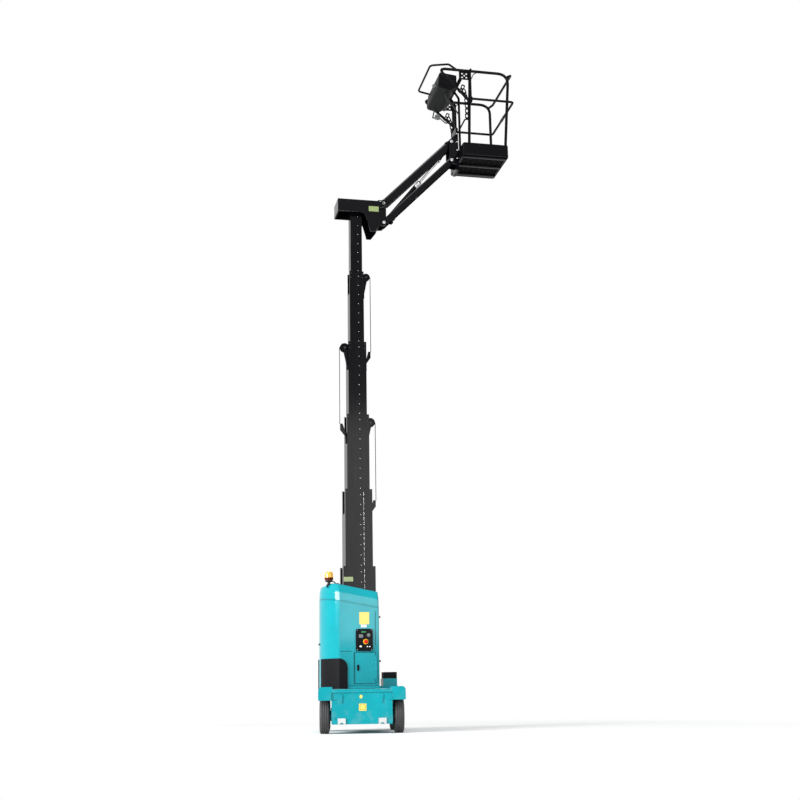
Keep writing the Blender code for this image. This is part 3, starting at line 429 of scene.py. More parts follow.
@dataclass
class Studio:
    """Camera, floor and lights, placed from the slewing axis."""

    axis: Vector
    focal_mm: float = 54.77
    sensor_mm: float = 36.0
    place: Point = (0.5294, -15.0843, 0.428)
    tilt: float = 0.2372
    roll: float = 0.016
    turn: float = -0.2127
    paper: Colour = (1.0, 1.0, 1.0)

    def camera(self) -> bpy.types.Object:
        """Returns the camera, at the photograph's angle."""
        data = bpy.data.cameras.new("camera")
        data.lens, data.sensor_width, data.clip_end = self.focal_mm, self.sensor_mm, 400.0
        made = placed("camera", data)
        t, r = self.tilt, self.roll
        side, up = Vector((1, 0, 0)), Vector((0, -math.sin(t), math.cos(t)))
        right = side * math.cos(r) - up * math.sin(r)
        above = side * math.sin(r) + up * math.cos(r)
        back = -Vector((0, math.cos(t), math.sin(t)))
        spin = Matrix.Rotation(self.turn, 3, "Z")
        axes = Matrix([spin @ right, spin @ above, spin @ back]).transposed()
        made.matrix_world = Matrix.Translation(self.axis + spin @ Vector(self.place)) @ axes.to_4x4()
        bpy.context.scene.camera = made
        return made

    def floor(self) -> bpy.types.Object:
        """Returns the pale floor, which fades into the backdrop far from the lift."""
        bm = bmesh.new()
        bmesh.ops.create_circle(bm, cap_ends=True, radius=150.0, segments=96)
        mesh = bpy.data.meshes.new("floor")
        bm.to_mesh(mesh)
        bm.free()
        made = placed("floor", mesh)
        made.location = (self.axis.x, self.axis.y, -0.0005)
        s = Shader("studio_floor")
        tone = s.mix(s.steps(s.noise(1.4, 5.0), 0.3, 0.7), (0.8, 0.8, 0.795), (0.83, 0.83, 0.825))
        s.set(Base_Color=tone, Roughness=0.75)
        away = s.node("VectorMath", operation="LENGTH")
        s.tree.links.new(s.coords.outputs["Object"], away.inputs[0])
        share = s.steps(away.outputs["Value"], 1.6, 6.0)
        glow = s.node("Emission", Color=rgba(self.paper), Strength=1.0)
        blend = s.node("MixShader", Fac=share)
        out = next(n for n in s.tree.nodes if n.type == "OUTPUT_MATERIAL")
        s.tree.links.new(s.bsdf.outputs[0], blend.inputs[1])
        s.tree.links.new(glow.outputs[0], blend.inputs[2])
        s.tree.links.new(blend.outputs[0], out.inputs["Surface"])
        mesh.materials.append(s.material)
        return made

    def lamp(
            self, name: str, place: Point, target: Point, size: float | Pair,
            power: float) -> bpy.types.Object:
        """Adds a square or oblong soft light.

        Args:
            name: The light's name.
            place: Where it hangs, from the slewing axis, in the camera's own heading.
            target: The point that it faces, in the same way.
            size: Its side, or its width and height, in metres.
            power: Its power, in watts.

        Returns:
            The light.
        """
        data = bpy.data.lights.new(name, "AREA")
        data.shape, data.energy = "RECTANGLE", power
        data.size, data.size_y = (size, size) if isinstance(size, float) else size
        made = placed(name, data)
        spin = Matrix.Rotation(self.turn, 3, "Z")
        start, end = (self.axis + spin @ Vector(p) for p in (place, target))
        made.location = start
        made.rotation_mode = "QUATERNION"
        made.rotation_quaternion = (end - start).to_track_quat("-Z", "Y")
        return made

    def build(self) -> None:
        """Sets up the whole studio."""
        scene = bpy.context.scene
        scene.view_settings.view_transform = "Standard"
        scene.view_settings.look = "None"
        self.camera()
        self.floor()
        self.lamp("key", (-9.0, -6.0, 4.5), (0.0, 0.0, 2.4), 4.0, 1900.0)
        self.lamp("fill", (6.0, -10.0, 4.0), (0.3, 0.0, 2.0), 5.0, 420.0)
        self.lamp("strip", (-4.2, -8.5, 2.2), (-0.2, 0.0, 1.3), (0.7, 4.0), 150.0)
        self.lamp("top", (0.0, -1.0, 14.0), (0.5, 0.0, 3.0), 5.0, 650.0)
        world = bpy.data.worlds.new("studio")
        scene.world = world
        world.use_nodes = True
        back = world.node_tree.nodes["Background"]
        tree = world.node_tree
        soft = tree.nodes.new("ShaderNodeBackground")
        soft.inputs["Color"].default_value = rgba((0.9, 0.92, 0.95))
        soft.inputs["Strength"].default_value = 0.55
        back.inputs["Color"].default_value = rgba(self.paper)
        back.inputs["Strength"].default_value = 1.0
        path = tree.nodes.new("ShaderNodeLightPath")
        blend = tree.nodes.new("ShaderNodeMixShader")
        out = next(n for n in tree.nodes if n.type == "OUTPUT_WORLD")
        share = path.outputs["Is Camera Ray"]
        for ray in ("Is Glossy Ray", "Is Transmission Ray"):
            seen = tree.nodes.new("ShaderNodeMath")
            seen.operation = "MAXIMUM"
            tree.links.new(share, seen.inputs[0])
            tree.links.new(path.outputs[ray], seen.inputs[1])
            share = seen.outputs[0]
        tree.links.new(share, blend.inputs[0])
        tree.links.new(soft.outputs[0], blend.inputs[1])
        tree.links.new(back.outputs[0], blend.inputs[2])
        tree.links.new(blend.outputs[0], out.inputs["Surface"])


# Meshes.


def skin(shape: bmesh.types.BMesh, one: list[bmesh.types.BMVert], two: list[bmesh.types.BMVert]) -> None:
    """Adds the faces between two rings with as many corners."""
    for i in range(len(one)):
        j = (i + 1) % len(one)
        shape.faces.new((one[i], one[j], two[j], two[i]))


class Mould:
    """A mesh under construction, with calls that each add one closed shape in metres."""

    def __init__(self) -> None:
        """Starts an empty mesh."""
        self.bm = bmesh.new()

    def mesh(self, name: str) -> bpy.types.Mesh:
        """Ends the mould and returns what it holds as a mesh."""
        made = bpy.data.meshes.new(name)
        self.bm.to_mesh(made)
        self.bm.free()
        return made

    def keep(self, shape: bmesh.types.BMesh, matrix: Matrix | None = None) -> Mould:
        """Adds another mesh to this one, turned outwards and moved by a matrix."""
        bmesh.ops.recalc_face_normals(shape, faces=shape.faces)
        if matrix is not None:
            shape.transform(matrix)
        mesh = bpy.data.meshes.new("part")
        shape.to_mesh(mesh)
        shape.free()
        self.bm.from_mesh(mesh)
        bpy.data.meshes.remove(mesh)
        return self

    def block(self, low: Point, high: Point, edge: float = 0.0, steps: int = 2) -> Mould:
        """Adds a box with rounded edges.

        Args:
            low: Its lowest corner.
            high: Its highest corner.
            edge: The radius of its edges, or 0 for sharp ones.
            steps: How many faces round each edge.

        Returns:
            This mould.
        """
        shape = bmesh.new()
        bmesh.ops.create_cube(shape, size=1.0)
        size = [max(b - a, 1e-5) for a, b in zip(low, high)]
        middle = [(a + b) / 2 for a, b in zip(low, high)]
        bmesh.ops.scale(shape, vec=size, verts=shape.verts)
        if edge > 0:
            bmesh.ops.bevel(
                shape, geom=shape.edges[:], offset=min(edge, min(size) * 0.45), segments=steps,
                affect="EDGES", profile=0.5)
        bmesh.ops.translate(shape, vec=middle, verts=shape.verts)
        return self.keep(shape)

    def lathe(
            self, profile: Sequence[Pair], centre: Point = (0, 0, 0), axis: Point = (0, 0, 1),
            sides: int = 32, hollow: bool = False) -> Mould:
        """Adds a turned shape.

        Args:
            profile: Radius and height pairs, in order along the outside.
            centre: Where height 0 of the axis is.
            axis: The turning axis.
            sides: How many faces round.
            hollow: True where the profile is a closed ring that doesn't reach the axis.

        Returns:
            This mould.
        """
        shape = bmesh.new()
        rings = []
        for radius, height in profile:
            rings.append(
                [shape.verts.new((radius * math.cos(t), radius * math.sin(t), height))
                for t in (2 * math.pi * i / sides for i in range(sides))])
        pairs = list(zip(rings, rings[1:])) + ([(rings[-1], rings[0])] if hollow else [])
        for one, two in pairs:
            skin(shape, one, two)
        if not hollow:
            shape.faces.new(rings[0][::-1])
            shape.faces.new(rings[-1])
        turn = Vector(axis).to_track_quat("Z", "Y").to_matrix().to_4x4()
        return self.keep(shape, Matrix.Translation(centre) @ turn)

    def pipe(
            self, points: Sequence[Point], radius: float, sides: int = 16, bend: float = 0.0,
            steps: int = 6) -> Mould:
        """Adds a round bar or tube along a path, with rounded corners.

        Args:
            points: The path's corners.
            radius: The bar's radius.
            sides: How many faces round.
            bend: The corner radius, in the plane of each corner.
            steps: How many rings in each corner.

        Returns:
            This mould.
        """
        path = rounded_path(points, bend, steps) if bend > 0 else [Vector(p) for p in points]
        shape = bmesh.new()
        rings = []
        ahead = (path[1] - path[0]).normalized()
        side = ahead.orthogonal().normalized()
        for i, spot in enumerate(path):
            before = (spot - path[i - 1]).normalized() if i else (path[1] - spot).normalized()
            after = (path[i + 1] - spot).normalized() if i + 1 < len(path) else before
            ahead = (before + after).normalized()
            side = (side - ahead * side.dot(ahead)).normalized()
            across = ahead.cross(side)
            stretch = 1.0 / max(0.5, ahead.dot(after))
            flat = (before.cross(after)).normalized() if before.cross(after).length > 1e-6 else across
            out = ahead.cross(flat).normalized()
            ring = []
            for k in range(sides):
                t = 2 * math.pi * k / sides
                offset = (side * math.cos(t) + across * math.sin(t)) * radius
                ring.append(shape.verts.new(spot + offset + out * offset.dot(out) * (stretch - 1)))
            rings.append(ring)
        for one, two in zip(rings, rings[1:]):
            skin(shape, one, two)
        shape.faces.new(rings[0][::-1])
        shape.faces.new(rings[-1])
        return self.keep(shape)

    def plate(self, outline: Sequence[Pair], thick: float, matrix: Matrix, edge: float = 0.0) -> Mould:
        """Adds a flat plate.

        Args:
            outline: Its corners in its own plane.
            thick: Its thickness, along its own Z.
            matrix: Where it goes.
            edge: The radius of its upper edge.

        Returns:
            This mould.
        """
        shape = bmesh.new()
        low = [shape.verts.new((x, y, 0.0)) for x, y in outline]
        high = [shape.verts.new((x, y, thick)) for x, y in outline]
        skin(shape, low, high)
        shape.faces.new(low[::-1])
        top = shape.faces.new(high)
        if edge > 0:
            bmesh.ops.bevel(
                shape, geom=list(top.edges), offset=edge, segments=2, affect="EDGES", profile=0.5)
        return self.keep(shape, matrix)

    def holed(self, half: Pair, hole: Pair, thick: float, matrix: Matrix, sides: int = 16) -> Mould:
        """Adds a rectangular plate with one long round-ended hole.

        Args:
            half: Half its length and width.
            hole: Half the hole's length and width.
            thick: Its thickness, along its own Z.
            matrix: Where it goes.
            sides: How many corners the hole has.

        Returns:
            This mould.
        """
        shape = bmesh.new()
        small = min(hole)
        straight = (hole[0] - small, hole[1] - small)
        rings: list[list[bmesh.types.BMVert]] = []
        for level in (0.0, thick):
            outer, inner = [], []
            for i in range(sides):
                t = 2 * math.pi * (i + 0.5) / sides
                c, s = math.cos(t), math.sin(t)
                reach = 1.0 / max(abs(c), abs(s))
                outer.append(shape.verts.new((half[0] * c * reach, half[1] * s * reach, level)))
                inner.append(
                    shape.verts.new((straight[0] * (1 if c > 0 else -1) + small * c,
                    straight[1] * (1 if s > 0 else -1) + small * s, level)))
            rings += [outer, inner]
        for i in range(sides):
            j = (i + 1) % sides
            for a, b in ((0, 1), (1, 3), (3, 2), (2, 0)):
                shape.faces.new((rings[a][i], rings[a][j], rings[b][j], rings[b][i]))
        return self.keep(shape, matrix)

    def wall(self, outer: Sequence[Pair], inner: Sequence[Pair], low: float, high: float) -> Mould:
        """Adds an upright wall between two outlines with as many corners."""
        shape = bmesh.new()
        rings = [
            [shape.verts.new((x, y, z)) for x, y in line] for line,
            z in ((outer, low), (outer, high), (inner, high), (inner, low))]
        for one, two in zip(rings, rings[1:] + rings[:1]):
            skin(shape, one, two)
        return self.keep(shape)

    def cut(self, cutter: Mould) -> Mould:
        """Takes another mould's shape out of this one."""
        pair = [placed("cut", mould.mesh("cut")) for mould in (self, cutter)]
        modifier = pair[0].modifiers.new("cut", "BOOLEAN")
        modifier.operation, modifier.solver, modifier.object = "DIFFERENCE", "EXACT", pair[1]
        graph = bpy.context.evaluated_depsgraph_get()
        result = bpy.data.meshes.new_from_object(pair[0].evaluated_get(graph), depsgraph=graph)
        self.bm = bmesh.new()
        self.bm.from_mesh(result)
        for item in pair:
            bpy.data.objects.remove(item)
        return self


def rounded_path(points: Sequence[Point], bend: float, steps: int) -> list[Vector]:
    """Returns a path with its corners rounded.

    Args:
        points: The corners.
        bend: The radius, less where a side is too short for it.
        steps: How many pieces each corner has.

    Returns:
        The path's points.
    """
    spots = [Vector(p) for p in points]
    path = [spots[0]]
    for last, spot, after in zip(spots, spots[1:], spots[2:]):
        to_last, to_next = (last - spot), (after - spot)
        angle = to_last.angle(to_next)
        if math.pi - angle < 0.02:
            path.append(spot)
            continue
        cut = min(bend / math.tan(angle / 2), to_last.length * 0.48, to_next.length * 0.48)
        a, b = spot + to_last.normalized() * cut, spot + to_next.normalized() * cut
        for i in range(steps + 1):
            t = i / steps
            path.append(a * (1 - t) ** 2 + spot * 2 * t * (1 - t) + b * t ** 2)
    path.append(spots[-1])
    return path


def round_rect(x0: float, x1: float, y0: float, y1: float, r: float, steps: int = 5) -> list[Pair]:
    """Returns the corners of a rectangle with rounded corners."""
    out = []
    for cx, cy, start in (
            (x1 - r, y1 - r, 0), (x0 + r, y1 - r, 1), (x0 + r, y0 + r, 2), (x1 - r, y0 + r, 3)):
        for i in range(steps + 1):
            t = math.pi / 2 * (start + i / steps)
            out.append((cx + r * math.cos(t), cy + r * math.sin(t)))
    return out


def facing(origin: Point, right: Point, up: Point) -> Matrix:
    """Returns the matrix of a plane at a point, from its own X and Y directions."""
    x, y = Vector(right).normalized(), Vector(up).normalized()
    z = x.cross(y).normalized()
    made = Matrix((x, y, z)).transposed().to_4x4()
    made.translation = origin
    return made


def upright(origin: Point) -> Matrix:
    """Returns the matrix of an upright plane at a point, facing the near side."""
    return facing(origin, right=(1, 0, 0), up=(0, 0, 1))


def outward(side: int) -> Point:
    """Returns the turn of a screw on the near (-1) or far (1) side."""
    return (-side * math.pi / 2, 0, 0)


def pin_caps(mould: Mould, x: float, z: float, reach: float) -> None:
    """Adds the caps on both ends of a pin that lies across the jib."""
    for s in (-1, 1):
        mould.lathe(
            [(0.021, 0.0), (0.021, 0.004), (0.019, 0.006), (0.01, 0.0065)], (x, s * reach, z), (0, s, 0),
            24)


def hexagon(mould: Mould, across: float, height: float) -> Mould:
    """Adds a hexagon screw head on a washer, at the origin and along Z."""
    r = across / 2
    mould.lathe([(r * 1.28, 0.0), (r * 1.28, height * 0.22), (r * 1.18, height * 0.28)], sides=16)
    mould.lathe([(r, height * 0.28), (r, height * 0.88), (r * 0.84, height)], sides=6)
    return mould


def button_head(mould: Mould, across: float, height: float) -> Mould:
    """Adds a round screw head with a socket rim, at the origin and along Z."""
    r = across / 2
    mould.lathe(
        [(r, 0.0), (r * 0.98, height * 0.4), (r * 0.72, height * 0.86), (r * 0.42, height),
        (r * 0.36, height * 0.55)], sides=12)
    return mould


# Repeats, made by Geometry Nodes.


class Repeater:
    """A Geometry Nodes tree that puts copies of a template on points."""

    def __init__(self, name: str) -> None:
        """Starts the tree.

        Args:
            name: The tree's name.
        """
        self.tree = bpy.data.node_groups.new(name, "GeometryNodeTree")
        self.sockets: dict[str, str] = {}
        self.tree.interface.new_socket("Geometry", in_out="OUTPUT", socket_type="NodeSocketGeometry")
        self.template = self.entry("Template", "NodeSocketObject")
        self.finish = self.entry("Finish", "NodeSocketMaterial")
        self.turn = self.entry("Turn", "NodeSocketVector")

    def entry(self, name: str, kind: str) -> str:
        """Adds a named input and returns its name."""
        socket = self.tree.interface.new_socket(name, in_out="INPUT", socket_type=kind)
        self.sockets[name] = socket.identifier
        return name

    def node(self, kind: str) -> bpy.types.Node:
        """Adds a node by type."""
        return self.tree.nodes.new(kind)

    def close(self, points: Socket, inputs: bpy.types.Node, spin: Socket | None = None) -> None:
        """Ends the tree: copies on the points, made real, with their finish.

        Args:
            points: The points' socket.
            inputs: The Group Input node.
            spin: The turn of each copy, or none for the same turn on all.
        """
        info = self.node("GeometryNodeObjectInfo")
        put = self.node("GeometryNodeInstanceOnPoints")
        real = self.node("GeometryNodeRealizeInstances")
        paint = self.node("GeometryNodeSetMaterial")
        out = self.node("NodeGroupOutput")
        link = self.tree.links.new
        link(inputs.outputs[self.template], info.inputs["Object"])
        link(info.outputs["Geometry"], put.inputs["Instance"])
        link(points, put.inputs["Points"])
        link(spin or inputs.outputs[self.turn], put.inputs["Rotation"])
        link(put.outputs["Instances"], real.inputs["Geometry"])
        link(real.outputs["Geometry"], paint.inputs["Geometry"])
        link(inputs.outputs[self.finish], paint.inputs["Material"])
        link(paint.outputs["Geometry"], out.inputs[0])

    def run(self, name: str, values: dict[str, object]) -> bpy.types.Mesh:
        """Runs the tree once and returns its result as a plain mesh.

        Args:
            name: The result's name.
            values: The inputs by name.

        Returns:
            The mesh.
        """
        host = placed(name + "_host", bpy.data.meshes.new(name + "_host"))
        modifier = host.modifiers.new("repeat", "NODES")
        modifier.node_group = self.tree
        for key, value in values.items():
            modifier[self.sockets[key]] = tuple(map(float, value)) if isinstance(value, tuple) else value
        graph = bpy.context.evaluated_depsgraph_get()
        result = bpy.data.meshes.new_from_object(
            host.evaluated_get(graph), preserve_all_data_layers=True, depsgraph=graph)
        bpy.data.objects.remove(host)
        return result


class RowTree(Repeater):
    """Copies in a straight row."""

    def __init__(self) -> None:
        """Builds the tree."""
        super().__init__("row_of_copies")
        for name, kind in (
                ("Count", "NodeSocketInt"), ("Start", "NodeSocketVector"), ("Step", "NodeSocketVector")):
            self.entry(name, kind)
        inputs = self.node("NodeGroupInput")
        line = self.node("GeometryNodeMeshLine")
        line.mode = "OFFSET"
        for source, target in (("Count", "Count"), ("Start", "Start Location"), ("Step", "Offset")):
            self.tree.links.new(inputs.outputs[source], line.inputs[target])
        self.close(line.outputs["Mesh"], inputs)


class RingTree(Repeater):
    """Copies turned in equal steps round the origin."""

    def __init__(self) -> None:
        """Builds the tree."""
        super().__init__("ring_of_copies")
        self.entry("Count", "NodeSocketInt")
        inputs = self.node("NodeGroupInput")
        ring = self.node("GeometryNodeMeshCircle")
        ring.inputs["Radius"].default_value = 0.0
        index = self.node("GeometryNodeInputIndex")
        share = self.node("ShaderNodeMath")
        share.operation = "DIVIDE"
        whole = self.node("ShaderNodeMath")
        whole.operation = "MULTIPLY"
        whole.inputs[1].default_value = 2 * math.pi
        pack = self.node("ShaderNodeCombineXYZ")
        link = self.tree.links.new
        link(inputs.outputs["Count"], ring.inputs["Vertices"])
        link(index.outputs[0], share.inputs[0])
        link(inputs.outputs["Count"], share.inputs[1])
        link(share.outputs[0], whole.inputs[0])
        link(whole.outputs[0], pack.inputs["Z"])
        self.close(ring.outputs["Mesh"], inputs, pack.outputs[0])


class Layout(enum.Enum):
    """How copies are laid out."""

    ROW = "row"
    RING = "ring"


# Workbench: where pieces get their place, their finish and their body.


@dataclass
class Bench:
    """Turns moulds into pieces that ride on the CAD bodies."""

    axis: Vector
    coats: Coats
    chassis_turn: float = math.radians(-9.2)
    sharp: float = math.radians(32)
    made: list[str] = field(default_factory=list)
    trees: dict[Layout, Repeater] = field(default_factory=dict)

    def __post_init__(self) -> None:
        """Builds the trees for repeats."""
        self.trees = {Layout.ROW: RowTree(), Layout.RING: RingTree()}

    def frame(self, body: str) -> Matrix:
        """Returns the matrix from a body's drawing frame, with its origin under the slewing axis."""
        base = Matrix.Translation(self.axis)
        if body == "chassis" or body.startswith(("wheel", "knuckle")):
            return base @ Matrix.Rotation(self.chassis_turn, 4, "Z")
        return base

    def settle(
            self, name: str, mesh: bpy.types.Mesh, finish: str, body: str, replaces: Iterable[str] = (),
            slot: str = "") -> bpy.types.Object:
        """Makes a piece from a mesh.

        Args:
            name: The piece's name.
            mesh: Its shape, in the body's drawing frame.
            finish: Its finish.
            body: The body that it rides on.
            replaces: CAD nodes that it stands for.
            slot: The record's material slot, where it has one; not used.

        Returns:
            The piece.
        """
        mesh.transform(self.frame(body))
        mesh.materials.clear()
        mesh.materials.append(self.coats[finish])
        mesh.shade_smooth()
        mesh.set_sharp_from_angle(angle=self.sharp)
        made = placed(name, mesh)
        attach(made, body)
        if replaces:
            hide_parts(*replaces)
        self.made.append(name)
        LOG.info("%s: %d faces, on %s", name, len(mesh.polygons), body)
        return made

    def repeat(
            self, name: str, layout: Layout, template: Mould, finish: str, body: str,
            values: dict[str, object], matrix: Matrix | None = None) -> bpy.types.Object:
        """Makes a piece of many copies.

        Args:
            name: The piece's name.
            layout: How the copies stand.
            template: One copy, about the origin.
            finish: Its finish.
            body: The body that it rides on.
            values: The tree's inputs by name.
            matrix: Where the whole goes.

        Returns:
            The piece.
        """
        pattern = placed(name + "_template", template.mesh(name + "_template"))
        result = self.trees[layout].run(name, {"Template": pattern, "Finish": self.coats[finish], **values})
        bpy.data.objects.remove(pattern)
        result.name = name
        if matrix is not None:
            result.transform(matrix)
        return self.settle(name, result, finish, body)


# Sub-assemblies.


@dataclass
class Fittings:
    """What is fitted to one sub-assembly, with short calls that make its pieces on its main body."""

    bench: Bench
    body: ClassVar[str] = ""

    def put(
            self, name: str, mould: Mould, finish: str, replaces: Iterable[str] = (), slot: str = "",
            body: str = "") -> None:
        """Makes a piece from a mould, on the main body where no other is named."""
        self.bench.settle(name, mould.mesh(name), finish, body or self.body, replaces, slot)

    def row(
            self, name: str, template: Mould, finish: str, count: int, start: Point, step: Point,
            turn: Point = (0, 0, 0), body: str = "") -> None:
        """Makes a piece of copies in a straight row.

        Args:
            name: The piece's name.
            template: One copy, about the origin.
            finish: Its finish.
            count: How many copies there are.
            start: Where the first one goes.
            step: The way from each copy to the next.
            turn: The turn of each copy.
            body: The body that it rides on, where it isn't the main one.
        """
        values = {"Count": count, "Start": start, "Step": step, "Turn": turn}
        self.bench.repeat(name, Layout.ROW, template, finish, body or self.body, values)

    def ring(
            self, name: str, template: Mould, finish: str, count: int, matrix: Matrix,
            body: str = "") -> None:
        """Makes a piece of copies turned in equal steps about a matrix's Z axis."""
        self.bench.repeat(name, Layout.RING, template, finish, body or self.body, {"Count": count}, matrix)


@dataclass
class Chassis(Fittings):
    """What is fitted to the chassis: deck cover, labels, ribs, screws, weld beads and foot mats."""

    body: ClassVar[str] = "chassis"
    face: float = -0.8123
    deck_face: float = -0.8253
    half: float = 0.345

    def near_face(self, x: float, z: float) -> Matrix:
        """Returns the plane of a point on the near end plate."""
        return upright((x, self.face, z))

    def labels(self) -> None:
        """Puts the blank labels on the near end plate."""
        square = Mould().plate(
            round_rect(-0.043, 0.043, -0.04, 0.04, 0.006), FILM, self.near_face(0.007, 0.292))
        arrow = [
            (-0.014, -0.02), (0.014, -0.02), (0.014, 0), (0.024, 0), (0, 0.024), (-0.024, 0), (-0.014, 0)]
        square.plate(arrow, FILM, self.near_face(-0.012, 0.41))
        self.put("chassis_labels", square, "yellow_film")
        frame = Mould()
        x, z, w, h, line = 0.007, 0.292, 0.03, 0.027, 0.0012
        ring = [(x - w, z - h), (x + w, z - h), (x + w, z + h), (x - w, z + h)]
        for (x0, z0), (x1, z1) in zip(ring, ring[1:] + ring[:1]):
            frame.block(
                (min(x0, x1) - line, self.face - 0.0013, min(z0, z1) - line),
                (max(x0, x1) + line, self.face - 0.0008, max(z0, z1) + line))
        self.put("chassis_label_border", frame, "black_plastic")

    def ribs(self) -> None:
        """Puts the two tapered ribs beside the arrow on the near end plate."""
        ribs = Mould()
        taper = [(-0.009, -0.048), (0.006, -0.048), (0.013, 0.048), (-0.013, 0.048)]
        for s in (-1, 1):
            ribs.plate(taper, 0.01, self.near_face(s * 0.232, 0.388), 0.004)
        self.put("chassis_ribs", ribs, "teal_paint")

    def screws(self) -> None:
        """Puts the screws on the end plates, the fender sides and the deck."""
        for name, z in (("upper", 0.378), ("lower", 0.174)):
            self.row(
                f"chassis_{name}_screws", hexagon(Mould(), 0.016, 0.008), "teal_paint", 2,
                (-0.311, self.face, z), (0.622, 0, 0), outward(-1))
        for side, s in (("left", -1), ("right", 1)):
            for end, y in (("near", -0.745), ("far", 0.47)):
                self.row(
                    f"fender_{end}_{side}_screws", button_head(Mould(), 0.014, 0.004), "zinc", 3,
                    (s * 0.5, y, 0.492), (0, 0.135, 0), (0, s * math.pi / 2, 0))
            self.row(
                f"deck_{side}_screws", button_head(Mould(), 0.016, 0.004), "zinc", 5,
                (s * 0.318, -0.62, 0.4783), (0, 0.31, 0))

    def seams(self) -> None:
        """Lays the weld beads along the deck's edge, the beams and the lashing plates."""
        bead = Mould()
        for s in (-1, 1):
            bead.pipe([(s * 0.3445, -0.8105, 0.112), (s * 0.3445, -0.8105, 0.4555)], 0.0035, 8)
            bead.pipe([(s * 0.346, -0.8, 0.4565), (s * 0.346, -0.4, 0.4565)], 0.003, 8)
            for x in (s * 0.232 - 0.046, s * 0.232 + 0.046):
                bead.pipe([(x, self.face - 0.001, 0.11), (x, self.face - 0.001, 0.17)], 0.0028, 8)
        bead.pipe([(-0.34, self.face, 0.4535), (0.34, self.face, 0.4535)], 0.003, 8)
        self.put("chassis_weld_beads", bead, "teal_paint")

    def cover(self) -> None:
        """Makes the deck plate and the four fenders, with rounded shoulders, as one painted cover."""
        cover = Mould().block((-self.half, self.deck_face, 0.4553), (self.half, 0.812, 0.478), 0.004)
        cover.block((-0.333, self.deck_face, 0.477), (0.333, -0.795, 0.4945), 0.005)
        ring = [
            (0.336, 0.456), (0.336, 0.512), (0.344, 0.52), (0.462, 0.52), (0.478, 0.516), (0.49, 0.505),
            (0.4965, 0.49), (0.5, 0.47)]
        room = [
            (0.491, 0.47), (0.488, 0.486), (0.479, 0.499), (0.462, 0.508), (0.348, 0.508), (0.348, 0.456)]
        for s in (-1, 1):
            for y0, y1, low, skirt in ((-0.826, -0.394, 0.37, 0.41), (0.394, 0.826, 0.425, 0.425)):
                outline = [(s * x, z) for x, z in ring + [(0.5, skirt), (0.491, skirt)] + room]
                cover.plate(outline, y1 - y0, upright((0, y1, 0)))
                if y0 < 0:
                    wall = [
                        (s * x, z) for x, z in [(0.348, 0.456), (0.348, low)] + [(0.499, low)]
                        + ring[:1:-1]]
                    cover.plate(wall, 0.0119, upright((0, y0 + 0.012, 0)))
                else:
                    cap = [(s * x, z) for x, z in ring + [(0.5, 0.425), (0.348, 0.425)]]
                    cover.plate(cap, 0.012, upright((0, y1, 0)))
        self.put("chassis_cover", cover, "teal_paint", ["chassis_deck"], "teal")

    def foot_mats(self) -> None:
        """Lays ribbed mats on the deck's ends."""
        for end, y0 in (("near", -0.79), ("far", 0.56)):
            rib = Mould().block((-0.2, -0.004, 0), (0.2, 0.004, 0.003), 0.0012)
            self.row(f"deck_mat_{end}", rib, "hose_rubber", 12, (0, y0, 0.4783), (0, 0.019, 0))

    def build(self) -> None:
        """Makes every fitting of the chassis."""
        self.cover()
        self.labels()
        self.ribs()
        self.screws()
        self.seams()
        self.foot_mats()


@dataclass
class Wheel(Fittings):
    """One wheel: its solid tyre, the tyre's worn tread and the hub's nuts."""

    name: str
    side: int
    y: float
    radius: float = 0.2
    width: float = 0.115
    track: float = 0.4275

    def build(self) -> None:
        """Makes the wheel's pieces."""
        body, node = f"wheel_{self.name}", self.name
        centre = (self.side * self.track, self.y, self.radius)
        out = (self.side, 0, 0)
        w, r = self.width / 2, self.radius
        inner = 0.1282
        groove = []
        for x in (-0.024, 0, 0.024):
            groove += [
                (r - 0.0006, x - 0.0042), (r - 0.006, x - 0.0026), (r - 0.006, x + 0.0026),
                (r - 0.0006, x + 0.0042)]
        profile = [
            (inner, -w + 0.012), (inner + 0.01, -w + 0.004), (r - 0.034, -w), (r - 0.03, -w + 0.002),
            (r - 0.016, -w + 0.003), (r - 0.007, -w + 0.008), (r - 0.0015, -w + 0.017)]
        profile += groove + [(x, -y) for x, y in profile[::-1]]
        tyre = Mould().lathe(profile, centre, out, 72, hollow=True)
        self.put(f"tyre_{node}_worn", tyre, "tyre_rubber", [f"tyre_{node}"], "rubber", body=body)
        turn = Vector(out).to_track_quat("Z", "Y").to_matrix().to_4x4()
        shape = Mould()
        shape.block((r - 0.0022, -0.0035, -w + 0.016), (r - 0.0002, 0.0035, -w + 0.03), 0.0006, 1)
        shape.block((r - 0.0022, -0.0035, w - 0.03), (r - 0.0002, 0.0035, w - 0.016), 0.0006, 1)
        self.ring(f"tread_{node}", shape, "tyre_rubber", 44, Matrix.Translation(centre) @ turn, body)
        nuts = hexagon(Mould(), 0.019, 0.012)
        nuts.bm.transform(Matrix.Translation((0.082, 0, 0)))
        face = Matrix.Translation(Vector(centre) + Vector(out) * 0.014)
        self.ring(f"nuts_{node}", nuts, "zinc", 5, face @ turn, body)


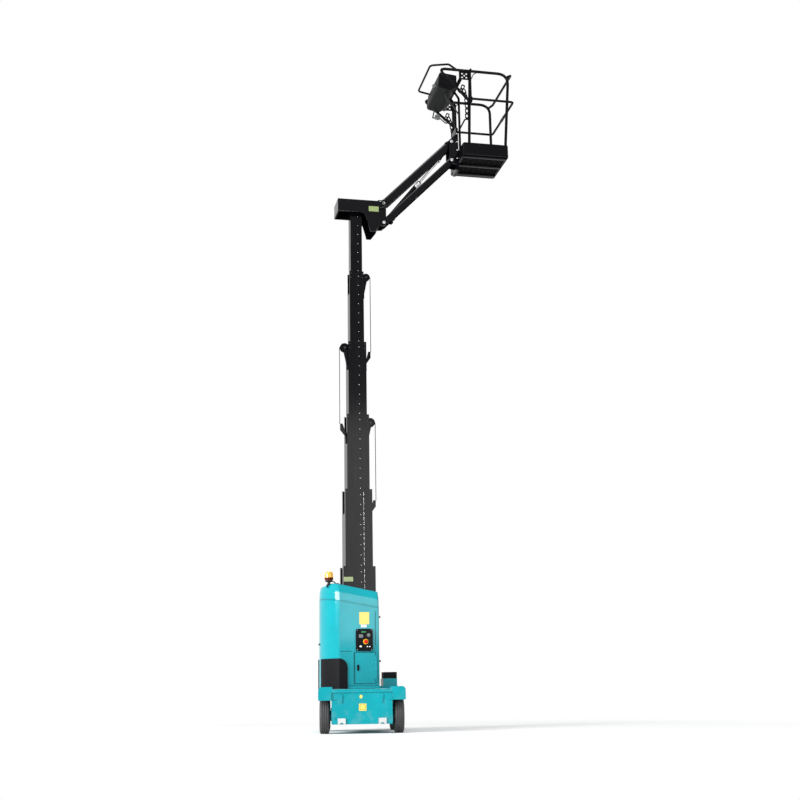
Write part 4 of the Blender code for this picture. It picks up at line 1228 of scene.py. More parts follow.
@dataclass
class Hood(Fittings):
    """What is fitted to the hood: labels, panel controls, door latches, buffers, seals, beacon and grips."""

    body: ClassVar[str] = "turntable"
    face: float = -0.3853
    panel: float = -0.4073
    front: float = 0.158
    beacon: Point = (-0.385, 0, 0)

    def near(self, x: float, z: float) -> Matrix:
        """Returns the plane of a point on the hood's near side."""
        return upright((x, self.face, z))

    def labels(self) -> None:
        """Puts the blank labels on the near and far sides."""
        yellow, white = Mould(), Mould()
        yellow.plate(round_rect(-0.06, 0.06, -0.072, 0.072, 0.006), FILM, self.near(-0.02, 1.315))
        white.plate(round_rect(-0.034, 0.034, -0.015, 0.015, 0.004), FILM, self.near(-0.027, 1.224))
        far = facing((-0.02, -self.face, 1.315), (-1, 0, 0), (0, 0, 1))
        yellow.plate(round_rect(-0.06, 0.06, -0.072, 0.072, 0.006), FILM, far)
        self.put("hood_labels", yellow, "yellow_film")
        self.put("hood_small_label", white, "white_film")

    def controls(self) -> None:
        """Fits the ground panel: its rim, stop button, key switch, toggles and status strip."""
        y = self.panel
        rim = Mould()
        loop = round_rect(-0.119, 0.073, 0.937, 1.185, 0.02, 6)
        path = [(x, y - 0.0005, z) for x, z in loop]
        rim.pipe(path + [path[0]], 0.0032, 8)
        self.put("ground_panel_rim", rim, "black_plastic")
        fascia = Mould().plate(
            round_rect(-0.103, 0.057, 0.953, 1.169, 0.012), 0.0016, upright((0, y, 0)), 0.0006)
        self.put("ground_panel_fascia", fascia, "panel_plastic")
        ring = Mould().lathe(
            [(0.0205, 0.0018), (0.031, 0.0018), (0.03, 0.0036), (0.0205, 0.004)], (-0.008, y, 1.04),
            (0, -1, 0), 32, hollow=True)
        self.put("stop_button_ring", ring, "yellow_button")
        button = Mould().lathe(
            [(0.0203, 0), (0.0203, 0.01), (0.0225, 0.013), (0.023, 0.0195), (0.0205, 0.0238),
            (0.012, 0.0262), (0.004, 0.0268)], (-0.008, y, 1.04), (0, -1, 0), 32)
        self.put("stop_button", button, "red_button")
        knobs, caps = Mould(), Mould()
        for x in (0.01, 0.036):
            knobs.lathe(
                [(0.009, 0.001), (0.009, 0.006), (0.0075, 0.008), (0.003, 0.009), (0.0022, 0.02),
                (0.003, 0.024), (0.0012, 0.026)], (x, y, 0.982), (0, -1, 0), 14)
        caps.lathe(
            [(0.013, 0.001), (0.013, 0.007), (0.011, 0.009), (0.005, 0.0095)], (-0.07, y, 0.985),
            (0, -1, 0), 20)
        caps.block((-0.0715, y - 0.0105, 0.977), (-0.0685, y - 0.008, 0.993), 0.0005)
        self.put("panel_toggles", knobs, "chrome")
        self.put("key_switch", caps, "zinc")
        strip = Mould().block((-0.06, y - 0.0034, 1.147), (-0.006, y - 0.0012, 1.16), 0.0012)
        self.put("status_strip", strip, "green_strip")
        gauge = Mould().lathe(
            [(0.021, 0.001), (0.021, 0.005), (0.018, 0.006), (0.017, 0.004)], (0.026, y, 1.118), (0, -1, 0),
            28)
        gauge.block((-0.09, y - 0.0034, 1.086), (-0.04, y - 0.0012, 1.124), 0.002)
        self.put("panel_gauge", gauge, "grey_plastic")
        for name, z in (("upper", 1.1745), ("lower", 0.9475)):
            self.row(
                f"ground_panel_{name}_screws", button_head(Mould(), 0.009, 0.003), "zinc", 2,
                (-0.108, y, z), (0.17, 0, 0), outward(-1))

    def door(self, label: str, s: int) -> None:
        """Fits a door's latch and the screws of its hinge."""
        y = -s * self.face
        latch = Mould()
        plane = facing((-0.098, y, 0.74), (-s, 0, 0), (0, 0, 1))
        latch.plate(round_rect(-0.013, 0.013, -0.036, 0.036, 0.01), 0.004, plane, 0.0015)
        latch.lathe(
            [(0.0085, 0.0035), (0.0085, 0.0065), (0.0065, 0.0078)], (-0.098, y, 0.752), (0, s, 0), 20)
        latch.block(
            *sorted_corners((-0.104, y + s * 0.0035, 0.712), (-0.092, y + s * 0.0095, 0.736)), 0.0015)
        self.put(f"door_latch_{label}", latch, "black_plastic", body=f"door_{label}")
        self.row(
            f"door_screws_{label}", button_head(Mould(), 0.011, 0.0032), "teal_paint", 4,
            (0.094, s * 0.391, 0.64), (0, 0, 0.065), outward(s), body=f"door_{label}")

    def buffers(self) -> None:
        """Fits the rubber buffers on the front and the tail."""
        pegs = Mould()
        profile = [
            (0.012, 0), (0.012, 0.004), (0.009, 0.006), (0.009, 0.014), (0.012, 0.016), (0.013, 0.022),
            (0.009, 0.026)]
        for y in (-0.335, 0.335):
            for z in (1.332, 0.815):
                pegs.lathe(profile, (self.front, y, z), (1, 0, 0), 20)
        pegs.lathe([(r, h * 0.5) for r, h in profile], (-0.5, 0, 1.027), (-1, 0, 0), 20)
        self.put("hood_buffers", pegs, "hose_rubber")

    def seams(self) -> None:
        """Lays black strips on the hood's sides: sealing strips, and painted shade along a groove and the
        short pressed lines.
        """
        strip = Mould()
        for s in (-1, 1):
            y = s * 0.3858
            strip.pipe([(-0.315, y, 0.932), (-0.18, y, 0.932)], 0.0022, 8)
            strip.pipe([(-0.1385, y, 0.553), (-0.1385, y, 0.915)], 0.0018, 8)
            strip.pipe([(0.113, y, 1.0), (0.113, y, 1.4)], 0.0022, 8)
        # The black of these strips is partly seal rubber and partly painted shade in the groove and the
        # pressed lines.
        self.put("hood_seal_strips", strip, "black_plastic")

    def roof(self) -> None:
        """Fits the beacon, its curved arm and the low grips beside it."""
        base = Mould().lathe(
            [(0.034, 1.69), (0.034, 1.742), (0.026, 1.748), (0.018, 1.752), (0.017, 1.772), (0.03, 1.777),
            (0.0455, 1.781), (0.046, 1.794), (0.04, 1.7997)], self.beacon, (0, 0, 1), 40)
        self.put("beacon_foot", base, "hose_rubber", ["beacon_base"], "black")
        arm = Mould().pipe(
            [(-0.352, -0.012, 1.786), (-0.318, -0.03, 1.772), (-0.312, -0.08, 1.742),
            (-0.32, -0.12, 1.716)], 0.0075, 12, 0.025)
        self.put("beacon_arm", arm, "hose_rubber")
        grip = Mould()
        for y in (-0.23, 0.23):
            grip.pipe(
                [(-0.44, y, 1.69), (-0.44, y, 1.722), (-0.3, y, 1.738), (-0.3, y, 1.7)], 0.0085, 14, 0.014)
        self.put("roof_grips", grip, "black_plastic")
        lens = Mould().lathe(
            [(0.05, 1.8003), (0.0515, 1.806), (0.05, 1.812), (0.0505, 1.868), (0.049, 1.88), (0.044, 1.892),
            (0.034, 1.9), (0.018, 1.9038), (0.006, 1.904)], self.beacon, (0, 0, 1), 48)
        self.put("beacon_dome", lens, "amber_lens", ["beacon_lens"], "amber")
        band = Mould().lathe(
            [(0.05, 1.8006), (0.0526, 1.8006), (0.053, 1.806), (0.0524, 1.828), (0.05, 1.83)], self.beacon,
            (0, 0, 1), 48, hollow=True)
        self.put("beacon_band", band, "dark_red")
        rib = Mould().block((0.0498, -0.0012, 1.816), (0.0512, 0.0012, 1.864), 0.0005, 1)
        self.ring("beacon_ribs", rib, "amber_lens", 40, Matrix.Translation(self.beacon))

    def guards(self) -> None:
        """Screws the black corner guards on."""
        for label, s in SIDES:
            self.row(
                f"guard_screws_{label}", button_head(Mould(), 0.018, 0.005), "black_plastic", 2,
                (-0.252, s * 0.397, 0.575), (0, 0, 0.15), outward(s))

    def build(self) -> None:
        """Makes every fitting of the hood."""
        self.labels()
        self.controls()
        for label, s in SIDES:
            self.door(label, s)
        self.buffers()
        self.seams()
        self.roof()
        self.guards()


def sorted_corners(one: Point, two: Point) -> tuple[Point, Point]:
    """Returns the lowest and highest corner of two opposite ones."""
    return tuple(map(min, one, two)), tuple(map(max, one, two))


@dataclass
class Mast(Fittings):
    """What is fitted to the mast: rivets, top screws, labels, chains and pulley caps."""

    x: float = -0.027
    top: float = 1.96
    stage: float = 0.957
    width: tuple[float, ...] = (0.4, 0.341, 0.283, 0.234, 0.184, 0.152)
    depth: tuple[float, ...] = (0.27, 0.245, 0.22, 0.195, 0.17, 0.145)
    pulleys: dict[int, float] = field(default_factory=lambda: {2: 0.06, 3: 0.06, 4: 0.05})
    lane: float = 0.035
    drop: float = 0.115
    gap: float = 0.005
    fork: float = 0.015

    def carrier(self, k: int) -> str:
        """Returns the body that section k belongs to."""
        return "turntable" if k == 0 else f"stage_{k}"

    def high(self, k: int) -> float:
        """Returns the height of section k's top."""
        return self.top + self.stage * k

    def side(self, k: int) -> int:
        """Returns the side on which section k's pulley stands."""
        return -1 if k % 2 else 1

    def rivets(self, k: int) -> None:
        """Rows of flat bright rivets down the near and far faces of section k."""
        count = 9 if k == 0 else 11
        for label, s in SIDES:
            y = s * self.depth[k] / 2
            dot = Mould().lathe([(0.0045, 0), (0.0043, 0.0003), (0.0024, 0.0005)], sides=12)
            self.row(
                f"section_{k}_rivets_{label}", dot, "zinc", count, (self.x + 0.022, y, self.high(k) - 0.07),
                (0, 0, -0.125), outward(s), body=self.carrier(k))
        if k < 2:
            dash = Mould().block((-0.0016, -0.0006, -0.022), (0.0016, 0.0006, 0.022), 0.0004, 1)
            self.row(
                f"section_{k}_seam", dash, "steel", 16,
                (self.x + 0.062, -self.depth[k] / 2, self.high(k) - 0.06), (0, 0, -0.062),
                body=self.carrier(k))

    def screws(self, k: int) -> None:
        """Four screws at the top of section k's near face, on the pads behind it."""
        half, y = self.width[k] / 2, -self.depth[k] / 2
        for name, z in (("upper", 0.03), ("lower", 0.088)):
            template = button_head(Mould(), 0.017, 0.0022)
            self.row(
                f"section_{k}_{name}_screws", template, "chain_steel", 2,
                (self.x - half * 0.82, y, self.high(k) - z), (half * 1.64, 0, 0), outward(-1),
                body=self.carrier(k))

    def chain(self, k: int) -> None:
        """A leaf chain from the anchor of section k - 1 to the pulley of section k."""
        s, r = self.side(k), self.pulleys[k]
        y = self.lane if k == 2 else -self.lane
        x = self.x + s * (self.width[k + 1] / 2 + self.gap + 2 * r + 0.0045)
        low = self.high(k - 1) - self.drop + 0.001
        high = self.high(k) - self.fork - r
        pitch = 0.019
        count = int((high - low) / (2 * pitch))
        pitch = (high - low) / (2 * count)
        link = Mould()
        outline = [
            (0.0036 * math.cos(t), (pitch / 2 if math.sin(t) >= 0 else -pitch / 2) + 0.004 * math.sin(t))
            for t in (2 * math.pi * i / 12 for i in range(12))]
        for shift, lanes in ((0, (-0.0078, -0.0026, 0.0026)), (pitch, (-0.0052, 0, 0.0052))):
            for lane in lanes:
                place = upright((0, lane + 0.001, shift))
                link.plate(outline, 0.002, place)
        for shift in (-pitch / 2, pitch / 2):
            link.lathe([(0.002, -0.0092), (0.002, 0.0092)], (0, 0, shift), (0, 1, 0), 8)
        self.row(
            f"chain_links_{k}", link, "chain_steel", count, (x, y, low + pitch / 2), (0, 0, 2 * pitch),
            body=self.carrier(k - 1))
        made = bpy.data.objects[f"chain_links_{k}"]
        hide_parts(f"lift_chain_{k}")
        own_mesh(made)

    def pulley_caps(self, k: int) -> None:
        """Washers and split pins on the ends of section k's pulley pin."""
        r, s = self.pulleys[k], self.side(k)
        y = self.lane if k == 2 else -self.lane
        x = self.x + s * (self.width[k + 1] / 2 + self.gap + r)
        z = self.high(k) - self.fork - r
        caps = Mould()
        for t in (-1, 1):
            caps.lathe(
                [(0.014, 0), (0.014, 0.0015), (0.0085, 0.002), (0.008, 0.0045), (0.004, 0.005)],
                (x, y + t * 0.0252, z), (0, t, 0), 20)
        self.put(f"pulley_caps_{k}", caps, "chain_steel", body=self.carrier(k))

    def labels(self) -> None:
        """A blank label low on the fixed section."""
        plane = upright((self.x - 0.139, -self.depth[0] / 2, 1.8))
        film = Mould().plate(round_rect(-0.058, 0.058, -0.028, 0.028, 0.004), FILM, plane)
        self.put("mast_label", film, "green_film", body="turntable")

    def build(self) -> None:
        """Makes every fitting of the mast."""
        for k in range(6):
            self.rivets(k)
        for k in range(5):
            self.screws(k)
        for k in self.pulleys:
            self.chain(k)
            self.pulley_caps(k)
        self.labels()


@dataclass
class Head(Fittings):
    """What is fitted to the mast's head: labels, screws, pin caps and a bent pipe."""

    body: ClassVar[str] = "stage_5"

    def build(self) -> None:
        """Makes every fitting of the head."""
        film = Mould()
        for s in (-1, 1):
            plane = facing((0.195, s * 0.1563, 6.64), (-s, 0, 0), (0, 0, 1))
            film.plate(round_rect(-0.066, 0.066, -0.036, 0.036, 0.005), FILM, plane)
        self.put("head_labels", film, "green_film")
        for label, s in SIDES:
            self.row(
                f"head_screws_{label}", hexagon(Mould(), 0.015, 0.007), "jib_paint", 4,
                (-0.245, s * 0.1562, 6.73), (0.11, 0, 0), outward(s))
        caps = Mould()
        for z in (Jib.pivot[1], Jib.pivot[1] - Jib.drop):
            pin_caps(caps, Jib.pivot[0], z, 0.1052)
        self.put("head_pin_caps", caps, "zinc")
        pipe = Mould().pipe(
            [(0.262, -0.12, 6.7573), (0.262, -0.12, 6.778), (0.3, -0.128, 6.78), (0.345, -0.128, 6.735),
            (0.345, -0.128, 6.69), (0.276, -0.128, 6.665)], 0.0065, 12, 0.02)
        self.put("head_pipe", pipe, "hose_rubber")
        lip = Mould()
        for s in (-1, 1):
            lip.pipe([(-0.278, s * 0.1545, 6.586), (-0.03, s * 0.1545, 6.586)], 0.0035, 8)
        lip.pipe([(-0.2795, -0.15, 6.586), (-0.2795, 0.15, 6.586)], 0.0035, 8)
        self.put("head_lip", lip, "jib_paint")


@dataclass
class Jib(Fittings):
    """The jib: a rounded upper channel, two rounded lower bars, and the fittings of their cylinder."""

    pivot: Pair = (0.34, 6.75)
    drop: float = 0.27
    length: float = 1.36
    angle: float = math.radians(45.5)
    base: Pair = (0.37, 6.52)
    eye: Pair = (1.09, -0.056)

    def local(self, drop: float = 0) -> Matrix:
        """Returns the matrix of a bar's own frame, X along it and Z across it."""
        c, s = math.cos(self.angle), math.sin(self.angle)
        made = Matrix(((c, 0, -s), (0, 1, 0), (s, 0, c))).to_4x4()
        made.translation = (self.pivot[0], 0, self.pivot[1] - drop)
        return made

    def upper(self) -> None:
        """The upper bar: an open channel with rounded shoulders and solid eye ends."""
        n = self.length
        half = [
            (0.046, -0.057), (0.0495, -0.046), (0.05, -0.03), (0.05, 0.004), (0.0485, 0.022),
            (0.044, 0.037), (0.036, 0.048), (0.024, 0.0545), (0.01, 0.0568)]
        room = [
            (0.01, 0.05), (0.022, 0.0478), (0.031, 0.042), (0.0375, 0.032), (0.0398, 0.018), (0.04, 0.004),
            (0.04, -0.03), (0.0395, -0.046), (0.038, -0.057)]
        outline = half + [(-y, z) for y, z in reversed(half)]
        inside = [(-y, z) for y, z in reversed(room)] + room
        ring = outline + inside
        across = facing((0.05, 0, 0), (0, 1, 0), (0, 0, 1))
        bar = Mould().plate(ring, n - 0.1, self.local() @ across)
        for x, s, under in ((0, 1, 0.037), (n, -1, 0.056)):
            side = [
                (-0.04, -0.018), (-0.04, 0.018), (-0.018, 0.04), (0.04, 0.056), (0.058, 0.056),
                (0.058, -under), (0.04, -under), (-0.018, -0.037)]
            flat = [(x + s * u, v) for u, v in side]
            bar.plate(flat, 0.0996, self.local() @ upright((0, 0.0498, 0)), 0.003)
        lug = [
            (self.eye[0] - 0.05, -0.052), (self.eye[0] - 0.016, -0.078), (self.eye[0] + 0.016, -0.078),
            (self.eye[0] + 0.05, -0.052)]
        for y in (0.0498, -0.0405):
            bar.plate(lug, 0.0092, self.local() @ upright((0, y, 0)), 0.0015)
        for s in (-1, 1):
            pin = self.local() @ Vector((self.eye[0], s * 0.0255, self.eye[1]))
            bar.lathe([(0.0128, 0), (0.0128, 0.028), (0.01, 0.03)], pin, (0, s, 0), 20)
        self.put("jib_upper_bar", bar, "jib_paint", ["jib_upper"], "jib_black", body="jib_upper")

    def lower(self) -> None:
        """The lower link: a rounded bar on each side, tied by two cross rods."""
        n = self.length
        place = self.local(self.drop)
        bars = Mould()
        curve = [
            (0.0585, -0.038), (0.066, -0.0415), (0.0725, -0.034), (0.0768, -0.018), (0.078, 0),
            (0.0768, 0.018), (0.0725, 0.034), (0.066, 0.0415), (0.0585, 0.038)]
        for s in (-1, 1):
            outline = [(s * y, z) for y, z in curve]
            bars.plate(outline, n - 0.01, place @ facing((0.005, 0, 0), (0, 1, 0), (0, 0, 1)))
            for x in (0, n):
                spot = place @ Vector((x, s * 0.0582, 0))
                bars.lathe(
                    [(0.036, 0), (0.036, 0.013), (0.03, 0.0195), (0.016, 0.0197)], spot, (0, s, 0), 28)
        for x, z, r in ((n - 0.13, -0.012, 0.016), (0.64, -0.026, 0.012)):
            bars.lathe([(r, -0.06), (r, 0.06)], place @ Vector((x, 0, z)), (0, 1, 0), 20)
        self.put("jib_lower_bars", bars, "jib_paint", ["jib_lower"], "jib_black", body="jib_lower")
        lug = Mould()
        shape = [(0.105, -0.03), (0.125, -0.066), (0.165, -0.066), (0.185, -0.03)]
        for y in (-0.059, 0.069):
            lug.plate(shape, 0.0095, place @ upright((0, y, 0)), 0.002)
        self.put("jib_lower_lugs", lug, "jib_paint", body="jib_lower")

    def cylinder(self) -> None:
        """Gland, ports and rod collar of the cylinder."""
        tip = self.local() @ Vector((self.eye[0], 0, self.eye[1]))
        start = Vector((self.base[0], 0, self.base[1]))
        ahead = (tip - start).normalized()
        out = Vector((0, 1, 0)).cross(ahead)

        gland = Mould().lathe(
            [(0.0172, 0.77), (0.029, 0.77), (0.033, 0.766), (0.033, 0.745), (0.0322, 0.742), (0.0322, 0.7),
            (0.033, 0.698), (0.033, 0.69), (0.0322, 0.688), (0.0322, 0.68), (0.0172, 0.68)][::-1], start,
            ahead, 32, hollow=True)
        gland.lathe(
            [(0.0332, 0.04), (0.0332, 0.062), (0.0322, 0.066), (0.02, 0.066), (0.02, 0.04)], start, ahead,
            32, hollow=True)
        self.put("cylinder_gland", gland, "zinc", body="cylinder_barrel")
        pipe = Mould()
        for along in (0.085, 0.665):
            spot = start + ahead * along + out * 0.03
            pipe.lathe([(0.01, 0), (0.01, 0.008), (0.0075, 0.01)], spot, out, 16)
        self.put("cylinder_ports", pipe, "zinc", body="cylinder_barrel")
        wiper = Mould().lathe(
            [(0.0163, -0.052), (0.0215, -0.05), (0.0215, -0.03), (0.0163, -0.026)], tip, ahead, 28,
            hollow=True)
        self.put("rod_eye_collar", wiper, "steel", body="cylinder_rod")

    def build(self) -> None:
        """Makes every piece of the jib."""
        self.upper()
        self.lower()
        self.cylinder()


@dataclass
class Platform(Fittings):
    """The platform: bracket fittings, slotted floor, toe board, rails, entry bar, console and cable guide."""

    body: ClassVar[str] = "platform"
    x0: float = 1.387
    x1: float = 2.015
    half: float = 0.362
    floor: float = 7.416
    toe: float = 7.6
    rail: float = 8.6
    rail_half: float = 0.455
    tube: float = 0.019
    end: float = 2.062
    middle: float = 1.478
    bar_y: float = 0.502
    bar_z: float = 8.17

    def inset(self, along: float, across: float, radius: float) -> list[Pair]:
        """Returns the floor's outline, drawn in by two margins, with rounded corners."""
        return round_rect(
            self.x0 + along, self.x1 - along, -self.half + across, self.half - across, radius, 6)

    def deck(self) -> None:
        """The floor tray: toe board with a rolled lip, slotted floor, beams and rivets."""
        tray = Mould().wall(
            self.inset(0, 0, 0.03), self.inset(0.006, 0.006, 0.024), self.floor + 0.014, self.toe - 0.004)
        lip = [(x, y, self.toe - 0.0045) for x, y in self.inset(0.0045, 0.0045, 0.026)]
        tray.pipe(lip + [lip[0]], 0.0044, 10)
        rim = self.inset(0.03, 0.04, 0.006)
        tray.wall(self.inset(0.005, 0.005, 0.025), rim, self.floor + 0.0145, self.floor + 0.0295)
        self.put("platform_tray", tray, "rail_coat", ["platform_floor"], "rail_black")
        beams = Mould()
        for y in (-0.29, -0.01, 0.27):
            beams.block(
                (self.x0 + 0.01, y - 0.028, self.floor), (self.x1 - 0.01, y + 0.028, self.floor + 0.0145),
                0.004)
        self.put("platform_beams", beams, "rail_coat")
        mat = Mould().block(
            (self.x0 + 0.012, -self.half + 0.012, self.floor + 0.0292),
            (self.x1 - 0.012, self.half - 0.012, self.floor + 0.0299))
        self.put("platform_mat", mat, "hose_rubber")
        wide, deep = self.x1 - self.x0 - 0.06, 2 * (self.half - 0.04)
        nx, ny = 8, 15
        sx, sy = wide / nx, deep / ny
        row = Mould()
        for i in range(nx):
            row.holed(
                (sx / 2, sy / 2), (sx / 2 - 0.01, sy / 2 - 0.0115), 0.006,
                Matrix.Translation((sx * (i + 0.5), 0, 0)))
        self.row(
            "floor_slots", row, "deck_coat", ny,
            (self.x0 + 0.03, -self.half + 0.04 + sy / 2, self.floor + 0.0235), (0, sy, 0))
        for label, s in SIDES:
            self.row(
                f"toe_rivets_{label}", button_head(Mould(), 0.012, 0.003), "rail_coat", 6,
                (self.x0 + 0.05, s * self.half, self.toe - 0.03), (0.105, 0, 0), outward(s))

    def rails(self) -> None:
        """The guardrail: corner and inner posts, top frame, guard loop and the console's side plates."""
        foot, knee = 7.4463, self.toe + 0.04
        post = self.half - 0.006 - self.tube - 0.002
        rail_z, rh = self.rail, self.rail_half
        bars = Mould()
        for s in (-1, 1):
            y, base = s * rh, s * post
            bars.pipe(
                [(2.02 - 0.4, y, rail_z), (2.02, y, rail_z), (1.985, base, knee), (1.985, base, foot)],
                self.tube, 20, 0.15, 10)
            bars.pipe(
                [self.lean(self.middle, s, 8.185), (1.04, y, rail_z), (2.02 - 0.39, y, rail_z)], self.tube,
                20, 0.045, 8)
            bars.pipe(
                [(1.575, y, rail_z - 0.016), self.lean(1.53, s, 8.56), self.lean(1.492, s, 8.47)], 0.006,
                12, 0.03)
            bars.pipe(
                [self.lean(self.middle, s, 7.93), (1.418, s * 0.372, 7.93), (1.41, s * 0.106, 7.905)],
                0.0105, 14, 0.035)
            bars.pipe(
                [(self.middle, base, foot), (self.middle, base, knee), (self.middle, y, rail_z)], self.tube,
                20, 0.05, 6)
            for x in (self.middle, 1.985):
                bars.lathe(
                    [(0.03, 0), (0.03, 0.005), (0.026, 0.008), (0.0192, 0.009)], (x, base, foot), (0, 0, 1),
                    24)
        bars.pipe(
            [(2.008, -rh, rail_z - 0.038), (self.end, -rh + 0.02, rail_z), (self.end, rh - 0.02, rail_z),
            (2.008, rh, rail_z - 0.038)], 0.017, 20, 0.03, 6)
        bars.pipe(
            [(1.3, -rh, rail_z), (1.19, -rh + 0.01, rail_z + 0.08), (0.955, -0.37, rail_z + 0.08),
            (0.955, 0.37, rail_z + 0.08), (1.19, rh - 0.01, rail_z + 0.08), (1.3, rh, rail_z)], 0.014, 18,
            0.07, 8)
        bars.block((1.327, -rh, rail_z - 0.15), (1.365, rh, rail_z - 0.112), 0.004)
        for s in (-1, 1):
            bars.pipe(
                [(1.412, s * 0.1, foot), (1.412, s * 0.1, rail_z - 0.23), (1.346, s * 0.1, rail_z - 0.131)],
                0.016, 18, 0.05)
            bars.pipe(
                [(self.middle, s * self.bar_y, self.bar_z - 0.04),
                (self.middle, s * self.bar_y, rail_z + 0.004)], 0.007, 14)
            for z, inner in ((self.bar_z - 0.044, self.slant(self.bar_z)), (rail_z - 0.01, rh)):
                bars.block(
                    *sorted_corners((self.middle - 0.012, s * inner, z),
                    (self.middle + 0.012, s * (self.bar_y + 0.013), z + 0.018)), 0.002)
        self.put("guardrail_tubes", bars, "rail_coat", ["guardrail"], "rail_black")
        for label, s in SIDES:
            self.put(f"hole_plate_{label}", self.hole_plate(s), "rail_coat")

    def slant(self, z: float) -> float:
        """Returns how far from the middle a leaning post is at a height."""
        post, knee = self.half - 0.006 - self.tube - 0.002, self.toe + 0.04
        return post + (self.rail_half - post) * (z - knee) / (self.rail - knee)

    def lean(self, x: float, s: int, z: float) -> Point:
        """Returns a point on a leaning post's line."""
        return (x, s * self.slant(z), z)

    def hole_plate(self, s: int) -> Mould:
        """Returns the side plate with a ring of four holes round a fifth."""
        y0, y1 = sorted((s * (self.rail_half - 0.004), s * (self.rail_half + 0.004)))
        plate = Mould().block((1.3269, y0, self.rail - 0.135), (1.462, y1, self.rail - 0.004), 0.0012, 1)
        holes = Mould()
        spots = [(1.4, self.rail - 0.076)] + [
            (1.4 + 0.042 * math.cos(a), self.rail - 0.076 + 0.038 * math.sin(a))
            for a in (math.pi * (0.25 + 0.5 * i) for i in range(4))]
        for x, z in spots:
            holes.lathe([(0.0125, -0.03), (0.0125, 0.03)], (x, s * self.rail_half, z), (0, 1, 0), 24)
        return plate.cut(holes)

    def entry_bar(self) -> None:
        """The bar that slides up to let a person in."""
        start = self.middle + 0.01
        y, z = self.bar_y, self.bar_z
        bar = Mould().pipe(
            [(start, -y, z), (self.end, -y, z), (self.end, y, z), (start, y, z)], 0.016, 20, 0.045, 8)
        for s in (-1, 1):
            bar.lathe(
                [(0.0078, -0.0255), (0.015, -0.0255), (0.0165, -0.022), (0.0165, 0.022), (0.015, 0.0255),
                (0.0078, 0.0255)], (self.middle, s * y, z), (0, 0, 1), 24, hollow=True)
        self.put("entry_bar_tube", bar, "rail_coat", ["entry_bar"], "rail_black", body="entry_bar")
        grip = Mould().lathe(
            [(0.0163, -0.075), (0.0195, -0.073), (0.02, -0.06), (0.019, -0.055), (0.019, 0.055),
            (0.02, 0.06), (0.0195, 0.073), (0.0163, 0.075)], (self.end, 0, z), (0, 1, 0), 24, hollow=True)
        self.put("entry_bar_grip", grip, "hose_rubber", body="entry_bar")

    def console(self) -> None:
        """The control console: body, end covers, joysticks, stop button, switches, fascia and ribs."""
        side = [
            (1.064, 8.43), (1.087, 8.596), (1.092, 8.606), (1.104, 8.6125), (1.312, 8.589), (1.322, 8.586),
            (1.3262, 8.578), (1.3262, 8.428), (1.322, 8.416), (1.312, 8.406), (1.24, 8.362), (1.226, 8.358),
            (1.09, 8.386), (1.078, 8.393), (1.068, 8.406)]
        body = Mould().plate(side, 0.66, upright((0, 0.33, 0)))
        self.put("console_body", body, "console_plastic", ["platform_console"], "console_grey")
        ends = Mould()
        frame = [
            (1.08, 8.43), (1.104, 8.596), (1.312, 8.574), (1.312, 8.424), (1.232, 8.376), (1.092, 8.402)]
        for y in (-0.33, 0.3315):
            ends.plate(frame, 0.0015, upright((0, y, 0)))
        self.put("console_end_covers", ends, "panel_plastic")
        top = facing((1.208, 0, 8.601), (0, 1, 0), (-0.9937, 0, 0.112))
        up = (0.112, 0, 0.9937)
        stick = Mould()
        for y in (-0.17, 0.15):
            spot = top @ Vector((y, 0, 0))
            stick.lathe(
                [(0.03, 0), (0.028, 0.006), (0.02, 0.01), (0.012, 0.02), (0.007, 0.028), (0.007, 0.048),
                (0.013, 0.054), (0.015, 0.064), (0.011, 0.072), (0.004, 0.075)], spot, up, 28)
        self.put("console_joysticks", stick, "hose_rubber")
        stop = Mould().lathe(
            [(0.02, 0), (0.02, 0.012), (0.024, 0.015), (0.024, 0.023), (0.018, 0.028), (0.006, 0.03)],
            top @ Vector((0.265, 0, 0)), up, 28)
        self.put("console_stop", stop, "red_button")
        toggle = Mould().lathe(
            [(0.008, 0), (0.008, 0.005), (0.003, 0.008), (0.0022, 0.02), (0.003, 0.024), (0.001, 0.026)],
            sides=12)
        self.row(
            "console_switches", toggle, "chrome", 5, (1.235, -0.09, 8.5975), (0, 0.045, 0), (0, 0.112, 0))
        film = Mould().plate(round_rect(-0.3, 0.3, -0.085, 0.085, 0.01), 0.001, top)
        self.put("console_fascia", film, "panel_plastic")
        ribs = Mould().block((-0.002, -0.29, -0.0005), (0.002, 0.29, 0.004), 0.0012, 1)
        self.row(
            "console_back_ribs", ribs, "console_plastic", 7, (1.0688, 0, 8.44), (0.00325, 0, 0.0232),
            (0, -math.radians(82), 0))

